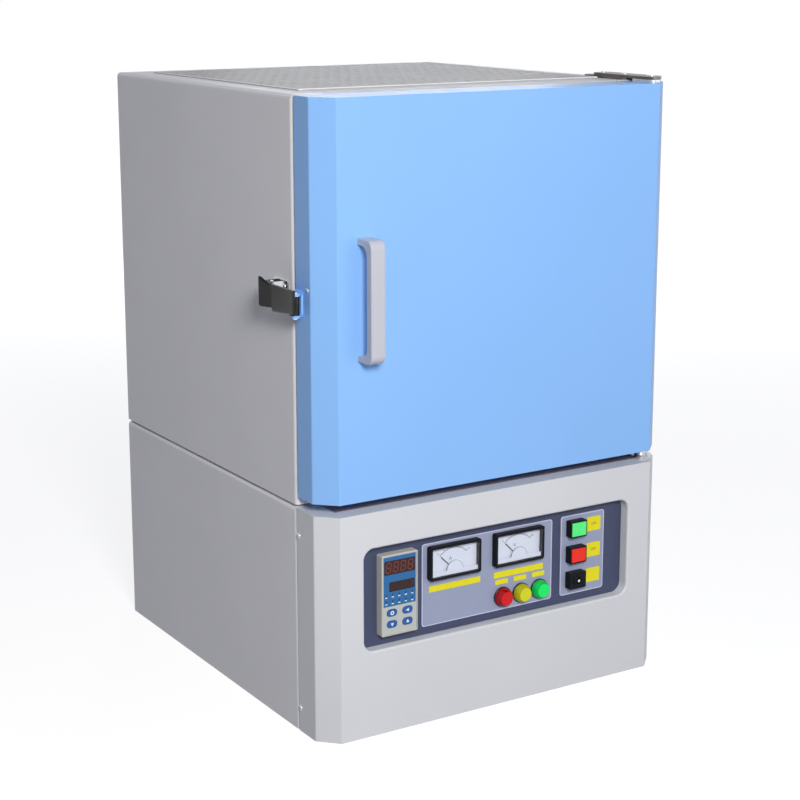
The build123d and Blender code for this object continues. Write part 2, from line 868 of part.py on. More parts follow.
def door_handle():
    x = left + handle_from_side
    low = handle_height - handle_length / 2
    high = handle_height + handle_length / 2
    outer_y = door_front - handle_reach
    inner_y = outer_y + handle_bar
    plane = Plane((x - handle_width / 2, 0, 0), x_dir=(0, 1, 0), z_dir=(1, 0, 0))
    outside = make_face(Polyline((door_front, low), (outer_y, low), (outer_y, high), (door_front, high), close=True))
    outside = fillet(outside.vertices().filter_by(lambda v: v.X < outer_y + 1), handle_outer_bend)
    inside = make_face(Polyline((door_front + 1, low + handle_leg), (inner_y, low + handle_leg),
                                (inner_y, high - handle_leg), (door_front + 1, high - handle_leg), close=True))
    inside = fillet(inside.vertices().filter_by(lambda v: v.X < inner_y + 1), handle_inner_bend)
    bar = extrude(plane * (outside - inside), handle_width)
    soft = bar.edges().group_by(Axis.Y)[0].filter_by(Axis.Z)
    return fillet(soft, 1.5)


# Hinge ironwork

def hinge_plate_solid(y_front, y_back, z_low, thick):
    outline = RectangleRounded(hinge_width, y_back - y_front, hinge_corner)
    return extrude(Pos(pivot_x, (y_front + y_back) / 2, z_low) * outline, thick)


def hinge_top_base():
    y0 = seam + hinge_base_setback
    plate = hinge_plate_solid(y0, y0 + hinge_base_length, casing_top, hinge_plate)
    for y in hinge_screw_places:
        plate -= post(pivot_x, y, screw_shank_radius + screw_play, casing_top - 1, casing_top + 2 * hinge_plate)
    return plate


def hinge_top_arm():
    low = casing_top + hinge_plate
    plate = hinge_plate_solid(pivot_y - hinge_arm_reach, seam + hinge_arm_lap, low, hinge_arm)
    plate &= wrap_solid(door_front, rear, hinge_edge_inset, wrap_bend, low, low + hinge_arm)
    plate -= post(pivot_x, pivot_y, pin_radius, low - 1, low + 2 * hinge_arm)
    for y in hinge_screw_places:
        plate -= post(pivot_x, y, screw_shank_radius + screw_play, low - 1, low + 2 * hinge_arm)
    return plate


def hinge_top_pin():
    top = casing_top + hinge_plate + hinge_arm
    pin = post(pivot_x, pivot_y, pin_radius, door_high - sheet - pin_grip + pin_tip_gap, top)
    head = post(pivot_x, pivot_y, pin_head_radius, top, top + pin_head_height)
    return pin + fillet(head.faces().sort_by(Axis.Z)[-1].edges(), pin_head_round)


def hinge_bottom_bracket():
    boss_top = door_low - hinge_leaf - fit_gap
    plate = hinge_plate_solid(pivot_y - hinge_bottom_reach, seam - hinge_edge_inset, lower_height, hinge_plate)
    plate &= wrap_solid(front, rear, hinge_edge_inset, wrap_bend, lower_height, lower_height + hinge_plate)
    boss = post(pivot_x, pivot_y, pin_boss_radius, lower_height + hinge_plate, boss_top)
    pin = post(pivot_x, pivot_y, pin_radius, boss_top, door_low + sheet + pin_grip - pin_tip_gap)
    return plate + boss + chamfer(pin.faces().sort_by(Axis.Z)[-1].edges(), 0.8)


def hinge_screws():
    top = casing_top + hinge_plate + hinge_arm
    return [screw_out(pivot_x, y, top, (0, 0, 1), hinge_screw_head) for y in hinge_screw_places]


# Latch

latch_pin_x = left - latch_pin_out
latch_pin_y = front + latch_pin_setback
latch_low = latch_height - latch_bracket_span / 2
latch_high = latch_height + latch_bracket_span / 2


def latch_screw_places():
    y = front + latch_plate_setback + latch_plate_length - latch_screw_inset
    return [(y, latch_height + end * latch_screw_pitch / 2) for end in (-1, 1)]


def latch_side_screw_place():
    return front + latch_side_screw_setback, latch_side_screw_height


def side_hole(y, z):
    return extrude(Plane((left, y, z), z_dir=(-1, 0, 0)) * Circle(small_shank_radius + screw_play),
                   small_shank_length, both=True)


def latch_screw_holes():
    return [side_hole(y, z) for y, z in [*latch_screw_places(), latch_side_screw_place()]]


def small_screw(x, y, z, shank_length):
    plane = Plane((x, y, z), z_dir=(-1, 0, 0))
    return extrude(plane * Circle(small_head_radius), small_head_height) + \
        extrude(plane * Circle(small_shank_radius), -shank_length)


def latch_bracket():
    y0 = front + latch_plate_setback
    y1 = y0 + latch_plate_length
    base = block(left - latch_plate, left, y0, y1, latch_low, latch_high)
    base = fillet(base.edges().filter_by(Axis.X), 2)
    ring = Pos(latch_pin_x, latch_pin_y) * Circle(latch_knuckle)
    foot = Pos(left - latch_plate / 2, (y0 + y1) / 2) * Rectangle(latch_plate, y1 - y0)
    lug_face = make_hull(ring.edges() + foot.edges())
    lower = extrude(Pos(0, 0, latch_low) * lug_face, latch_lug)
    upper = extrude(Pos(0, 0, latch_high - latch_lug) * lug_face, latch_lug)
    bracket = base + lower + upper - post(latch_pin_x, latch_pin_y, latch_pin_radius, latch_low - 1, latch_high + 1)
    for hole in latch_screw_holes():
        bracket -= hole
    return bracket


def latch_bracket_screws():
    screws = [small_screw(left - latch_plate, y, z, small_shank_length) for y, z in latch_screw_places()]
    return screws + [small_screw(left, *latch_side_screw_place(), small_shank_length)]


def latch_pin():
    pin = post(latch_pin_x, latch_pin_y, latch_pin_radius, latch_low - latch_pin_tail, latch_high)
    head = post(latch_pin_x, latch_pin_y, latch_pin_radius + 1, latch_high, latch_high + latch_pin_head)
    return pin + fillet(head.faces().sort_by(Axis.Z)[-1].edges(), 0.5)


def latch_lever():
    inner_x = latch_pin_x - latch_knuckle - fit_gap
    outer_x = inner_x - lever_thick
    tip_x = outer_x - grip_flare
    y_front = latch_pin_y - lever_front
    y_fold = latch_pin_y + lever_back
    y_tip = y_fold + grip_length
    plan = make_face(Polyline((inner_x, y_front), (outer_x, y_front), (outer_x, y_fold), (tip_x, y_tip),
                              (tip_x + grip_thick, y_tip), (inner_x, y_fold + 1), close=True))
    plan = fillet(plan.vertices().filter_by(lambda v: v.Y > y_tip - 1), 1.5)
    plan = fillet(plan.vertices().filter_by(lambda v: v.Y < y_front + 1), 1.2)
    side = make_face(Polyline((y_front, latch_height - lever_front_drop), (y_fold - 1, latch_height - lever_back_drop),
                              (y_fold + 1, latch_height - grip_drop), (y_tip, latch_height - grip_drop),
                              (y_tip, latch_height + grip_peak), (y_fold + 4, latch_height + grip_dip),
                              (y_fold, latch_height + lever_top), (y_front, latch_height + lever_top), close=True))
    side = fillet(side.vertices().sort_by(lambda v: v.X - v.Y / 2)[-1:], 5)
    plate = extrude(Pos(0, 0, latch_height - 2 * lever_back_drop) * plan, 4 * grip_peak)
    plate &= extrude(Plane((tip_x - 1, 0, 0), x_dir=(0, 1, 0), z_dir=(1, 0, 0)) * side, 2 * latch_pin_out)
    hub = Pos(latch_pin_x, latch_pin_y) * Circle(latch_knuckle)
    hub += Pos((latch_pin_x + outer_x + 1) / 2, latch_pin_y) * Rectangle(latch_pin_x - outer_x - 1, lever_web)
    hub_low = latch_low + latch_lug + fit_gap
    knuckle = extrude(Pos(0, 0, hub_low) * hub, latch_bracket_span - 2 * latch_lug - 2 * fit_gap)
    return plate + knuckle - post(latch_pin_x, latch_pin_y, latch_pin_radius + running_fit, latch_low, latch_high)


def strike_screw_places():
    y = seam + strike_setback + strike_screw_inset
    z = latch_height + strike_top - strike_height / 2
    return [(y, z + end * strike_screw_pitch / 2) for end in (-1, 1)]


def latch_strike():
    top = latch_height + strike_top
    y0 = seam + strike_setback
    plate = block(left - strike_plate, left, y0, y0 + strike_length, top - strike_height, top)
    plate = fillet(plate.edges().filter_by(Axis.X), 2)
    arm_y = seam + strike_arm_setback
    tip = left - strike_reach
    bridge = block(tip, left - strike_plate, arm_y, arm_y + strike_arm_thick, top - strike_bridge, top)
    hook = block(tip, tip + strike_hook_width, arm_y, arm_y + strike_arm_thick, top - strike_hook_drop, top)
    arm = bridge + hook
    arm = fillet(arm.edges().filter_by(Axis.Y).group_by(Axis.X)[0], 1.5)
    strike = plate + arm
    for y, z in strike_screw_places():
        strike -= side_hole(y, z)
    return strike


def strike_screws():
    return [small_screw(left - strike_plate, y, z, strike_plate - screw_play) for y, z in strike_screw_places()]


# Hot part

def element_places():
    heights = [chamber_middle + (n - (element_count - 1) / 2) * element_pitch for n in range(element_count)]
    offset = chamber_width / 2 + element_groove - 1
    return [(side * offset, z) for side in (-1, 1) for z in heights]


def element_span():
    start = muffle_front + chamber_depth - element_length
    return start, start + element_length


def muffle_chamber():
    outer = slab(0, chamber_middle, muffle_width, muffle_height, 4, muffle_front, muffle_back)
    inner = slab(0, chamber_middle, chamber_width, chamber_height, 4, muffle_front - 1, muffle_back - muffle_wall)
    muffle = outer - inner
    start, end = element_span()
    for x, z in element_places():
        muffle -= rod(x, z, element_groove, start - 1, end)
        muffle -= rod(x, z, element_tail_radius + fit_gap, end - 1, muffle_back + 1)
    probe_z = chamber_middle + chamber_height / 2 - probe_drop
    return muffle - rod(0, probe_z, probe_radius + fit_gap, muffle_back - 2 * muffle_wall, muffle_back + 1)


def heating_elements():
    start, end = element_span()
    coils = []
    for x, z in element_places():
        coil = rod(x, z, element_radius, start, end - fit_gap)
        coils.append(coil + rod(x, z, element_tail_radius, end - fit_gap, end + element_tail_length))
    return coils


def hearth_plate():
    y0 = muffle_front + hearth_setback
    y1 = muffle_back - muffle_wall - 2
    x0 = -chamber_width / 2 + hearth_side_gap
    plate = block(x0, -x0, y0, y1, chamber_low, chamber_low + hearth_thickness)
    return chamfer(plate.faces().sort_by(Axis.Z)[-1].edges(), 1.5)


def insulation_floor():
    x = muffle_width / 2 + side_insulation
    return block(-x, x, insulation_front, insulation_back, casing_bottom, chamber_low - muffle_wall)


def insulation_roof():
    x = muffle_width / 2 + side_insulation
    z0 = chamber_low + chamber_height + muffle_wall
    return block(-x, x, insulation_front, insulation_back, z0, z0 + roof_insulation)


def insulation_sides():
    z0 = chamber_low - muffle_wall
    x = muffle_width / 2
    return both_sides(block(x, x + side_insulation, insulation_front, insulation_back, z0, z0 + muffle_height))


def insulation_rear():
    z0 = chamber_low - muffle_wall
    x = muffle_width / 2
    board = block(-x, x, muffle_back, insulation_back, z0, z0 + muffle_height)
    for px, pz in element_places():
        board -= rod(px, pz, element_tail_radius + fit_gap, muffle_back - 1, insulation_back + 1)
    probe_z = chamber_middle + chamber_height / 2 - probe_drop
    return board - rod(0, probe_z, probe_radius + fit_gap, muffle_back - 1, insulation_back + 1)


def element_terminals():
    pieces = []
    for x, z in element_places():
        bead = rod(x, z, element_tail_radius + 4, insulation_back, insulation_back + 10)
        pieces.append(bead - rod(x, z, element_tail_radius + fit_gap, insulation_back - 1, insulation_back + 11))
    return pieces


def thermocouple():
    z = chamber_middle + chamber_height / 2 - probe_drop
    tube = rod(0, z, probe_radius, insulation_back - probe_length, insulation_back)
    tube = fillet(tube.faces().sort_by(Axis.Y)[0].edges(), probe_radius - 0.5)
    head = rod(0, z, probe_head_radius, insulation_back, insulation_back + probe_head_length)
    return tube + chamfer(head.faces().sort_by(Axis.Y)[-1].edges(), 3)


# Control gear on its plate in the lower cabinet

gear_left = right - gear_plate_from_side - gear_plate_width
gear_floor = sheet + gear_plate


def gear_mounting_plate():
    return block(gear_left, gear_left + gear_plate_width, 0, gear_plate_depth, sheet, gear_floor)


def power_regulator():
    x0 = gear_left + sink_inset_x
    y1 = sink_inset_y + sink_depth
    fin_pitch = (sink_width - fin_thick) / (fin_count - 1)
    sink = block(x0, x0 + sink_width, sink_inset_y, y1, gear_floor, gear_floor + sink_base)
    for n in range(fin_count):
        x = x0 + n * fin_pitch
        sink += block(x, x + fin_thick, sink_inset_y, y1, gear_floor + sink_base, gear_floor + sink_base + fin_height)
    return sink


def regulator_module():
    x0 = gear_left + sink_inset_x
    y0 = sink_inset_y + (sink_depth - module_depth) / 2
    low = gear_floor + sink_base + fin_height
    return block(x0, x0 + sink_width, y0, y0 + module_depth, low, low + module_height)


def circuit_breaker():
    x0 = gear_left + breaker_inset_x
    x1 = x0 + breaker_width
    y1 = sink_inset_y + breaker_depth
    top = gear_floor + breaker_height
    nose = block(x0, x1, sink_inset_y + breaker_nose_inset, y1 - breaker_nose_inset, top, top + breaker_nose_height)
    return block(x0, x1, sink_inset_y, y1, gear_floor, top) + nose


def contactor():
    x0 = gear_left + breaker_inset_x
    x1 = x0 + contactor_width
    y0 = contactor_inset_y
    y1 = y0 + contactor_depth
    top = gear_floor + contactor_height
    cap = block(x0 + contactor_cap_inset, x1 - contactor_cap_inset, y0 + 2 * contactor_cap_inset,
                y1 - 2 * contactor_cap_inset, top, top + contactor_cap_height)
    return block(x0, x1, y0, y1, gear_floor, top) + cap


def terminal_strip():
    x0 = gear_left + sink_inset_x
    pitch = strip_length / strip_ways
    top = gear_floor + strip_height
    strip = block(x0, x0 + strip_length, strip_inset_y, strip_inset_y + strip_depth, gear_floor, top)
    for n in range(strip_ways):
        x = x0 + (n + 0.5) * pitch
        strip -= post(x, strip_inset_y + strip_depth / 2, strip_well_radius, top - strip_well_depth, top + 1)
    return strip


start_place, stop_place, lock_place = switch_centres()
meters = [meter_parts(x, z) for x, z in meter_centres()]

save("base_pan", base_pan())
save("lower_side_panels", group(both_sides(side_panel(0, lower_height, False))))
save("lower_rear_cover", lower_rear_cover())
save("cable_gland", cable_gland())
save("deck_plate", deck_plate())
save("upper_side_panels", group(upper_side_panels()))
save("front_frame", front_frame())
save("upper_rear_cover", upper_rear_cover())
save("top_vent_cover", top_vent_cover())
save("control_fascia", control_fascia())
save("casing_screws", group(fascia_screws() + strike_screws()))
save("instrument_backplate", instrument_backplate())
save("instrument_plates", group([name_plate_solid(meter_plate_left, meter_plate_width),
                                 name_plate_solid(switch_plate_left, switch_plate_width)]))
save("legend_plates", legend_plates())
save("controller_case", controller_case())
save("controller_fascia", controller_front())
save("controller_window", controller_window())
for name, (key_x, key_z) in zip(("set", "shift", "down", "up"), key_centres()):
    save(f"controller_key_{name}", controller_key(key_x, key_z))
save("meter_housings", group(meter[0] for meter in meters))
save("meter_dials", group(meter[1] for meter in meters))
save("ammeter_needle", meters[0][2])
save("voltmeter_needle", meters[1][2])
save("meter_windows", group(meter[3] for meter in meters))
save("lamp_bodies", group(lamp_body(x, z) for x, z in lamp_centres()))
for name, (lamp_x, lamp_z) in zip(("red", "yellow", "green"), lamp_centres()):
    save(f"lamp_lens_{name}", lamp_lens(lamp_x, lamp_z))
save("switch_bodies", group([push_button_body(*start_place), push_button_body(*stop_place),
                             lock_switch_body(*lock_place)]))
save("start_button_cap", push_button_cap(*start_place))
save("stop_button_cap", push_button_cap(*stop_place))
save("lock_barrel", lock_barrel(*lock_place))
save("door_skin", door_skin())
save("door_inner_pan", door_inner_pan())
save("door_insulation", door_insulation())
save("door_plug", door_plug())
save("door_seal", door_seal())
save("door_handle", door_handle())
save("hinge_bushes", hinge_bushes())
save("hinge_top_base", hinge_top_base())
save("hinge_top_arm", hinge_top_arm())
save("hinge_top_pin", hinge_top_pin())
save("hinge_bottom_bracket", hinge_bottom_bracket())
save("hinge_screws", group(hinge_screws()))
save("latch_bracket", latch_bracket())
save("latch_screws", group(latch_bracket_screws()))
save("latch_pin", latch_pin())
save("latch_lever", latch_lever())
save("latch_strike", latch_strike())
save("muffle_chamber", muffle_chamber())
save("heating_elements", group(heating_elements()))
save("element_terminals", group(element_terminals()))
save("hearth_plate", hearth_plate())
save("thermocouple", thermocouple())
save("insulation_boards", group([insulation_floor(), insulation_roof(), *insulation_sides(), insulation_rear()]))
save("gear_plate", gear_mounting_plate())
save("power_regulator", group([power_regulator(), regulator_module()]))
save("switch_gear", group([circuit_breaker(), contactor(), terminal_strip()]))
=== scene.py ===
import math
import bpy
import bmesh
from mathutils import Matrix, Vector


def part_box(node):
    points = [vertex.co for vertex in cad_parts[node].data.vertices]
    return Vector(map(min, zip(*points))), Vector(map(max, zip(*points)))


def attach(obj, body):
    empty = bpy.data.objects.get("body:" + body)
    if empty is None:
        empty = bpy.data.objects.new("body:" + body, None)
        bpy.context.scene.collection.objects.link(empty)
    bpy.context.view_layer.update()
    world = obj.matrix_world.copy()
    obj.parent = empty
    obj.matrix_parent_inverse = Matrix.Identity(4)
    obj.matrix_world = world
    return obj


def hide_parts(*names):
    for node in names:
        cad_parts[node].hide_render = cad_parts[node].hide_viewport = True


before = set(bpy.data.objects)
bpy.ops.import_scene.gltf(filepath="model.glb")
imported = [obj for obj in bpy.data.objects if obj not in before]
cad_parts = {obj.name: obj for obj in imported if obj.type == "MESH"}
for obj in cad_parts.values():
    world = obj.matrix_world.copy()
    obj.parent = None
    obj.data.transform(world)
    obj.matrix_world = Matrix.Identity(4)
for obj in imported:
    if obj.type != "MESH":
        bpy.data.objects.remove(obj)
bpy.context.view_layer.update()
print("frame loaded with", len(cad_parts), "nodes")

mm = 0.001
weldDistance = 1e-6
sharpAngle = 35
printThick = 0.03 * mm  # print stands this far off its face
letterLift = 0.02 * mm
scene = bpy.context.scene


# Colours, nodes and meshes

def hexColour(code):
    channels = [int(code[i:i + 2], 16) / 255 for i in (1, 3, 5)]
    linear = [c / 12.92 if c <= 0.04045 else ((c + 0.055) / 1.055) ** 2.4 for c in channels]
    return (*linear, 1.0)


def addNode(tree, kind, settings=None, sockets=None):
    node = tree.nodes.new(kind)
    for key, value in (settings or {}).items():
        setattr(node, key, value)
    for key, value in (sockets or {}).items():
        if isinstance(value, bpy.types.NodeSocket):
            tree.links.new(value, node.inputs[key])
        else:
            node.inputs[key].default_value = value
    return node


def newMaterial(name, sockets):
    material = bpy.data.materials.new(name)
    material.use_nodes = True
    tree = material.node_tree
    shader = tree.nodes["Principled BSDF"]
    for key, value in sockets.items():
        shader.inputs[key].default_value = value
    place = addNode(tree, "ShaderNodeTexCoord").outputs["Object"]
    return material, tree, shader, place


def meshPiece(name, vertices, faces):
    mesh = bpy.data.meshes.new(name)
    mesh.from_pydata([tuple(v) for v in vertices], [], faces)
    mesh.update()
    piece = bpy.data.objects.new(name, mesh)
    scene.collection.objects.link(piece)
    return piece


def turnOut(piece):
    # Merges doubles and points every face outwards
    work = bmesh.new()
    work.from_mesh(piece.data)
    bmesh.ops.remove_doubles(work, verts=work.verts, dist=weldDistance)
    bmesh.ops.recalc_face_normals(work, faces=work.faces)
    work.to_mesh(piece.data)
    work.free()


def seat(piece, body, material, smooth=True):
    piece.data.materials.clear()
    piece.data.materials.append(material)
    for face in piece.data.polygons:
        face.use_smooth = smooth
    if smooth:
        piece.data.set_sharp_from_angle(angle=math.radians(sharpAngle))
    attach(piece, body)
    return piece


def joined(name, pieces):
    mesh = bpy.data.meshes.new(name)
    work = bmesh.new()
    for piece in pieces:
        work.from_mesh(piece.data)
    work.to_mesh(mesh)
    work.free()
    for piece in pieces:
        bpy.data.objects.remove(piece)
    whole = bpy.data.objects.new(name, mesh)
    scene.collection.objects.link(whole)
    return whole


def applied(piece):
    # The piece as its modifiers leave it, on a plain mesh with its place in the mesh
    bpy.context.view_layer.update()
    evaluated = piece.evaluated_get(bpy.context.evaluated_depsgraph_get())
    mesh = bpy.data.meshes.new_from_object(evaluated)
    mesh.transform(piece.matrix_world)
    name = piece.name
    bpy.data.objects.remove(piece)
    whole = bpy.data.objects.new(name, mesh)
    scene.collection.objects.link(whole)
    return whole


def arcPoints(cx, cz, radius, start, stop, steps):
    # Points along an arc in X and Z between two angles in degrees, with both its ends
    angles = [math.radians(start + (stop - start) * i / steps) for i in range(steps + 1)]
    return [(cx + radius * math.cos(angle), cz + radius * math.sin(angle)) for angle in angles]


def ringOutline(cx, cz, radius, steps=28):
    return arcPoints(cx, cz, radius, 0, 360, steps)[:-1]


def roundedOutline(cx, cz, wide, high, radius, steps=6):
    # Corner points of a rounded rectangle in X and Z, anticlockwise seen from the front
    points = []
    for sx, sz, start in ((1, -1, -90), (1, 1, 0), (-1, 1, 90), (-1, -1, 180)):
        px = cx + sx * (wide / 2 - radius)
        pz = cz + sz * (high / 2 - radius)
        points += arcPoints(px, pz, radius, start, start + 90, steps)
    return points


def frontPlate(name, outline, yFront, yBack, hole=None):
    # A flat plate facing the front, with its outline in X and Z, and a like outline cut out of it
    count = len(outline)
    if hole is None:
        vertices = [(x, yFront, z) for x, z in outline] + [(x, yBack, z) for x, z in outline]
        faces = [tuple(range(count)), tuple(reversed(range(count, 2 * count)))]
        for i in range(count):
            k = (i + 1) % count
            faces.append((k, i, i + count, k + count))
    else:
        rings = [(outline, yFront), (hole, yFront), (hole, yBack), (outline, yBack)]
        vertices = [(x, y, z) for ring, y in rings for x, z in ring]
        faces = []
        for ring in range(4):
            a = ring * count
            b = ((ring + 1) % 4) * count
            for i in range(count):
                k = (i + 1) % count
                faces.append((a + i, a + k, b + k, b + i))
    piece = meshPiece(name, vertices, faces)
    turnOut(piece)
    return piece


def block(name, low, high):
    sides = ((low[0], low[1]), (high[0], low[1]), (high[0], high[1]), (low[0], high[1]))
    corners = [(x, y, z) for z in (low[2], high[2]) for x, y in sides]
    faces = [(0, 3, 2, 1), (4, 5, 6, 7), (0, 1, 5, 4), (1, 2, 6, 5), (2, 3, 7, 6), (3, 0, 4, 7)]
    piece = meshPiece(name, corners, faces)
    turnOut(piece)
    return piece


def lathed(name, profile, centre, axis, segments=48):
    # A turned piece: the profile holds (radius, height) points along the axis, from its foot to its top
    aim = Vector(axis).normalized().to_track_quat("Z", "Y").to_matrix()
    vertices = []
    for radius, height in profile:
        for step in range(segments):
            angle = 2 * math.pi * step / segments
            point = Vector((radius * math.cos(angle), radius * math.sin(angle), height))
            vertices.append(Vector(centre) + aim @ point)
    faces = []
    for ring in range(len(profile) - 1):
        for step in range(segments):
            k = (step + 1) % segments
            a, b = ring * segments, (ring + 1) * segments
            faces.append((a + step, a + k, b + k, b + step))
    faces.append(tuple(reversed(range(segments))))
    faces.append(tuple(range((len(profile) - 1) * segments, len(profile) * segments)))
    piece = meshPiece(name, vertices, faces)
    turnOut(piece)
    return piece


# Finishes

def linkSurface(tree, shader, colour, shades, tone, grain, depthMm, gloss=None, roughness=None):
    # What changes over a finish: its tone, the relief of its grain and, where it has one, its gloss
    base = Vector(hexColour(colour)[:3])
    mixed = addNode(tree, "ShaderNodeMix", {"data_type": "RGBA"}, {
        0: tone, 6: (*(base * shades[0]), 1), 7: (*(base * shades[1]), 1)})
    tree.links.new(mixed.outputs[2], shader.inputs["Base Color"])
    bump = addNode(tree, "ShaderNodeBump", sockets={
        "Height": grain, "Distance": depthMm * mm, "Strength": 1.0})
    tree.links.new(bump.outputs[0], shader.inputs["Normal"])
    if gloss is not None:
        rough = addNode(tree, "ShaderNodeMapRange", sockets={
            "Value": gloss, "To Min": roughness[0], "To Max": roughness[1]})
        tree.links.new(rough.outputs[0], shader.inputs["Roughness"])


def powderCoat(name, colour, roughness=0.42):
    # Epoxy powder coat, sprayed and baked on sheet steel: satin, with orange peel and slow shifts of tone.
    # Real peel is under 2 mm across, which would not show, so it is drawn at 3.5 mm
    coat = {"peelMm": 3.5, "peelDepthMm": 0.012, "cloudMm": 160, "toneShift": 0.035, "patchMm": 45,
            "glossier": 0.05, "duller": 0.06}
    material, tree, shader, place = newMaterial(name, {"Specular IOR Level": 0.24})
    cloud, patch = [addNode(tree, "ShaderNodeTexNoise", sockets={
        "Vector": place, "Scale": 1 / (coat[size] * mm)}).outputs["Fac"] for size in ("cloudMm", "patchMm")]
    peel = addNode(tree, "ShaderNodeTexNoise", sockets={
        "Vector": place, "Scale": 1 / (coat["peelMm"] * mm), "Detail": 1.0})
    linkSurface(tree, shader, colour, (1 - coat["toneShift"], 1 + coat["toneShift"]), cloud,
                peel.outputs["Fac"], coat["peelDepthMm"], patch,
                (roughness - coat["glossier"], roughness + coat["duller"]))
    return material


def mouldedPlastic(name, colour, roughness=0.35, grainMm=1.2, grainDepthMm=0.006, specular=0.3):
    # Injection-moulded ABS or nylon: a fine spark-eroded grain, drawn about twice its real size to show
    moulding = {"smearMm": 14, "toneShift": 0.05, "glossier": 0.05, "duller": 0.07}
    material, tree, shader, place = newMaterial(name, {"IOR": 1.53, "Specular IOR Level": specular})
    grain = addNode(tree, "ShaderNodeTexNoise", sockets={
        "Vector": place, "Scale": 1 / (grainMm * mm), "Detail": 2.0})
    smear = addNode(tree, "ShaderNodeTexNoise", sockets={
        "Vector": place, "Scale": 1 / (moulding["smearMm"] * mm)})
    linkSurface(tree, shader, colour, (1 - moulding["toneShift"], 1 + moulding["toneShift"]),
                grain.outputs["Fac"], grain.outputs["Fac"], grainDepthMm, smear.outputs["Fac"],
                (roughness - moulding["glossier"], roughness + moulding["duller"]))
    return material


def platedSteel(name, colour, roughness=0.3, streakMm=1.0, along=(1, 12, 12)):
    # Zinc-plated or brushed metal: fine streaks along one axis break the reflection into lines
    plating = {"streakLong": 12, "shades": (0.86, 1.1), "depthMm": 0.004, "glossier": 0.08, "duller": 0.1}
    material, tree, shader, place = newMaterial(name, {"Metallic": 1.0})
    stretch = addNode(tree, "ShaderNodeMapping", sockets={"Vector": place, "Scale": along})
    streak = addNode(tree, "ShaderNodeTexNoise", sockets={
        "Vector": stretch.outputs[0], "Scale": 1 / (streakMm * plating["streakLong"] * mm),
        "Detail": 4.0}).outputs["Fac"]
    linkSurface(tree, shader, colour, plating["shades"], streak, streak, plating["depthMm"], streak,
                (roughness - plating["glossier"], roughness + plating["duller"]))
    return material


def firedCeramic(name, colour, grainMm, depthMm, roughness=0.9, specks=0.12):
    # Fired or felted ceramic: dry and matt, with a coarse grain and darker specks
    ceramic = {"speckGrains": 2.4, "speckDepth": 3}
    material, tree, shader, place = newMaterial(name, {"Specular IOR Level": 0.25, "Roughness": roughness})
    grain = addNode(tree, "ShaderNodeTexNoise", sockets={
        "Vector": place, "Scale": 1 / (grainMm * mm), "Detail": 6.0})
    speck = addNode(tree, "ShaderNodeTexVoronoi", sockets={
        "Vector": place, "Scale": 1 / (ceramic["speckGrains"] * grainMm * mm)})
    both = addNode(tree, "ShaderNodeMath", {"operation": "MULTIPLY"}, {
        0: grain.outputs["Fac"], 1: speck.outputs[0]})
    linkSurface(tree, shader, colour, (1, 1 - specks * ceramic["speckDepth"]), both.outputs[0],
                grain.outputs["Fac"], depthMm)
    return material


def tintedLens(name, colour, glow, wallToneAndShade):
    # Moulded coloured polycarbonate over a diffuser: full colour through the flat front, deeper through
    # the wall. The wall's darker tone is partly its thicker plastic and partly painted shade on faces turned
    # from the front, and the glow is a faint painted glow that lifts the colour
    lens = {"scatterMm": 2, "cloudMm": 7, "cloudTone": 0.9, "frontY": -0.97, "wallY": -0.6}
    material, tree, shader, place = newMaterial(name, {
        "Roughness": 0.12, "IOR": 1.5, "Specular IOR Level": 0.25, "Subsurface Weight": 0.15,
        "Subsurface Scale": lens["scatterMm"] * mm, "Subsurface Radius": (1.0, 1.0, 1.0),
        "Emission Color": hexColour(colour), "Emission Strength": glow})
    base = Vector(hexColour(colour)[:3])
    cloud = addNode(tree, "ShaderNodeTexNoise", sockets={
        "Vector": place, "Scale": 1 / (lens["cloudMm"] * mm)})
    tone = addNode(tree, "ShaderNodeMix", {"data_type": "RGBA"}, {
        0: cloud.outputs["Fac"], 6: (*(base * lens["cloudTone"]), 1), 7: (*base, 1)})
    # Faces turned from the front are darkened: partly the deeper plastic of the wall, partly painted shade
    normal = addNode(tree, "ShaderNodeNewGeometry").outputs["Normal"]
    facing = addNode(tree, "ShaderNodeSeparateXYZ", sockets={0: normal})
    front = addNode(tree, "ShaderNodeMapRange", sockets={
        "Value": facing.outputs["Y"], "From Min": lens["frontY"], "From Max": lens["wallY"],
        "To Min": 1.0, "To Max": wallToneAndShade})
    toneAndShade = addNode(tree, "ShaderNodeVectorMath", {"operation": "SCALE"}, {
        0: tone.outputs[2], "Scale": front.outputs[0]})
    tree.links.new(toneAndShade.outputs[0], shader.inputs["Base Color"])
    return material


def clearPane(name):
    # Cast acrylic, 1.2 mm thick: too thin to bend the view, so it is only a faint polished veil over the dial
    pane = {"tint": "#EFF3FF", "veil": 0.03, "smearMm": 22, "glossiest": 0.02, "dullest": 0.08}
    material, tree, shader, place = newMaterial(name, {
        "Base Color": hexColour(pane["tint"]), "IOR": 1.49, "Alpha": pane["veil"]})
    smear = addNode(tree, "ShaderNodeTexNoise", sockets={
        "Vector": place, "Scale": 1 / (pane["smearMm"] * mm)})
    gloss = addNode(tree, "ShaderNodeMapRange", sockets={
        "Value": smear.outputs["Fac"], "To Min": pane["glossiest"], "To Max": pane["dullest"]})
    tree.links.new(gloss.outputs[0], shader.inputs["Roughness"])
    return material


def printedSheet(name, colour, roughness=0.4, shift=0.03):
    # Screen-printed film or enamelled plate: flat colour with a slow drift and a faint print texture
    ink = {"driftMm": 38, "grainMm": 0.9, "depthMm": 0.003, "glossShift": 0.04}
    material, tree, shader, place = newMaterial(name, {"Specular IOR Level": 0.45})
    drift, grain = [addNode(tree, "ShaderNodeTexNoise", sockets={
        "Vector": place, "Scale": 1 / (ink[size] * mm)}).outputs["Fac"] for size in ("driftMm", "grainMm")]
    linkSurface(tree, shader, colour, (1 - shift, 1 + shift), drift, grain, ink["depthMm"], grain,
                (roughness - ink["glossShift"], roughness + ink["glossShift"]))
    return material


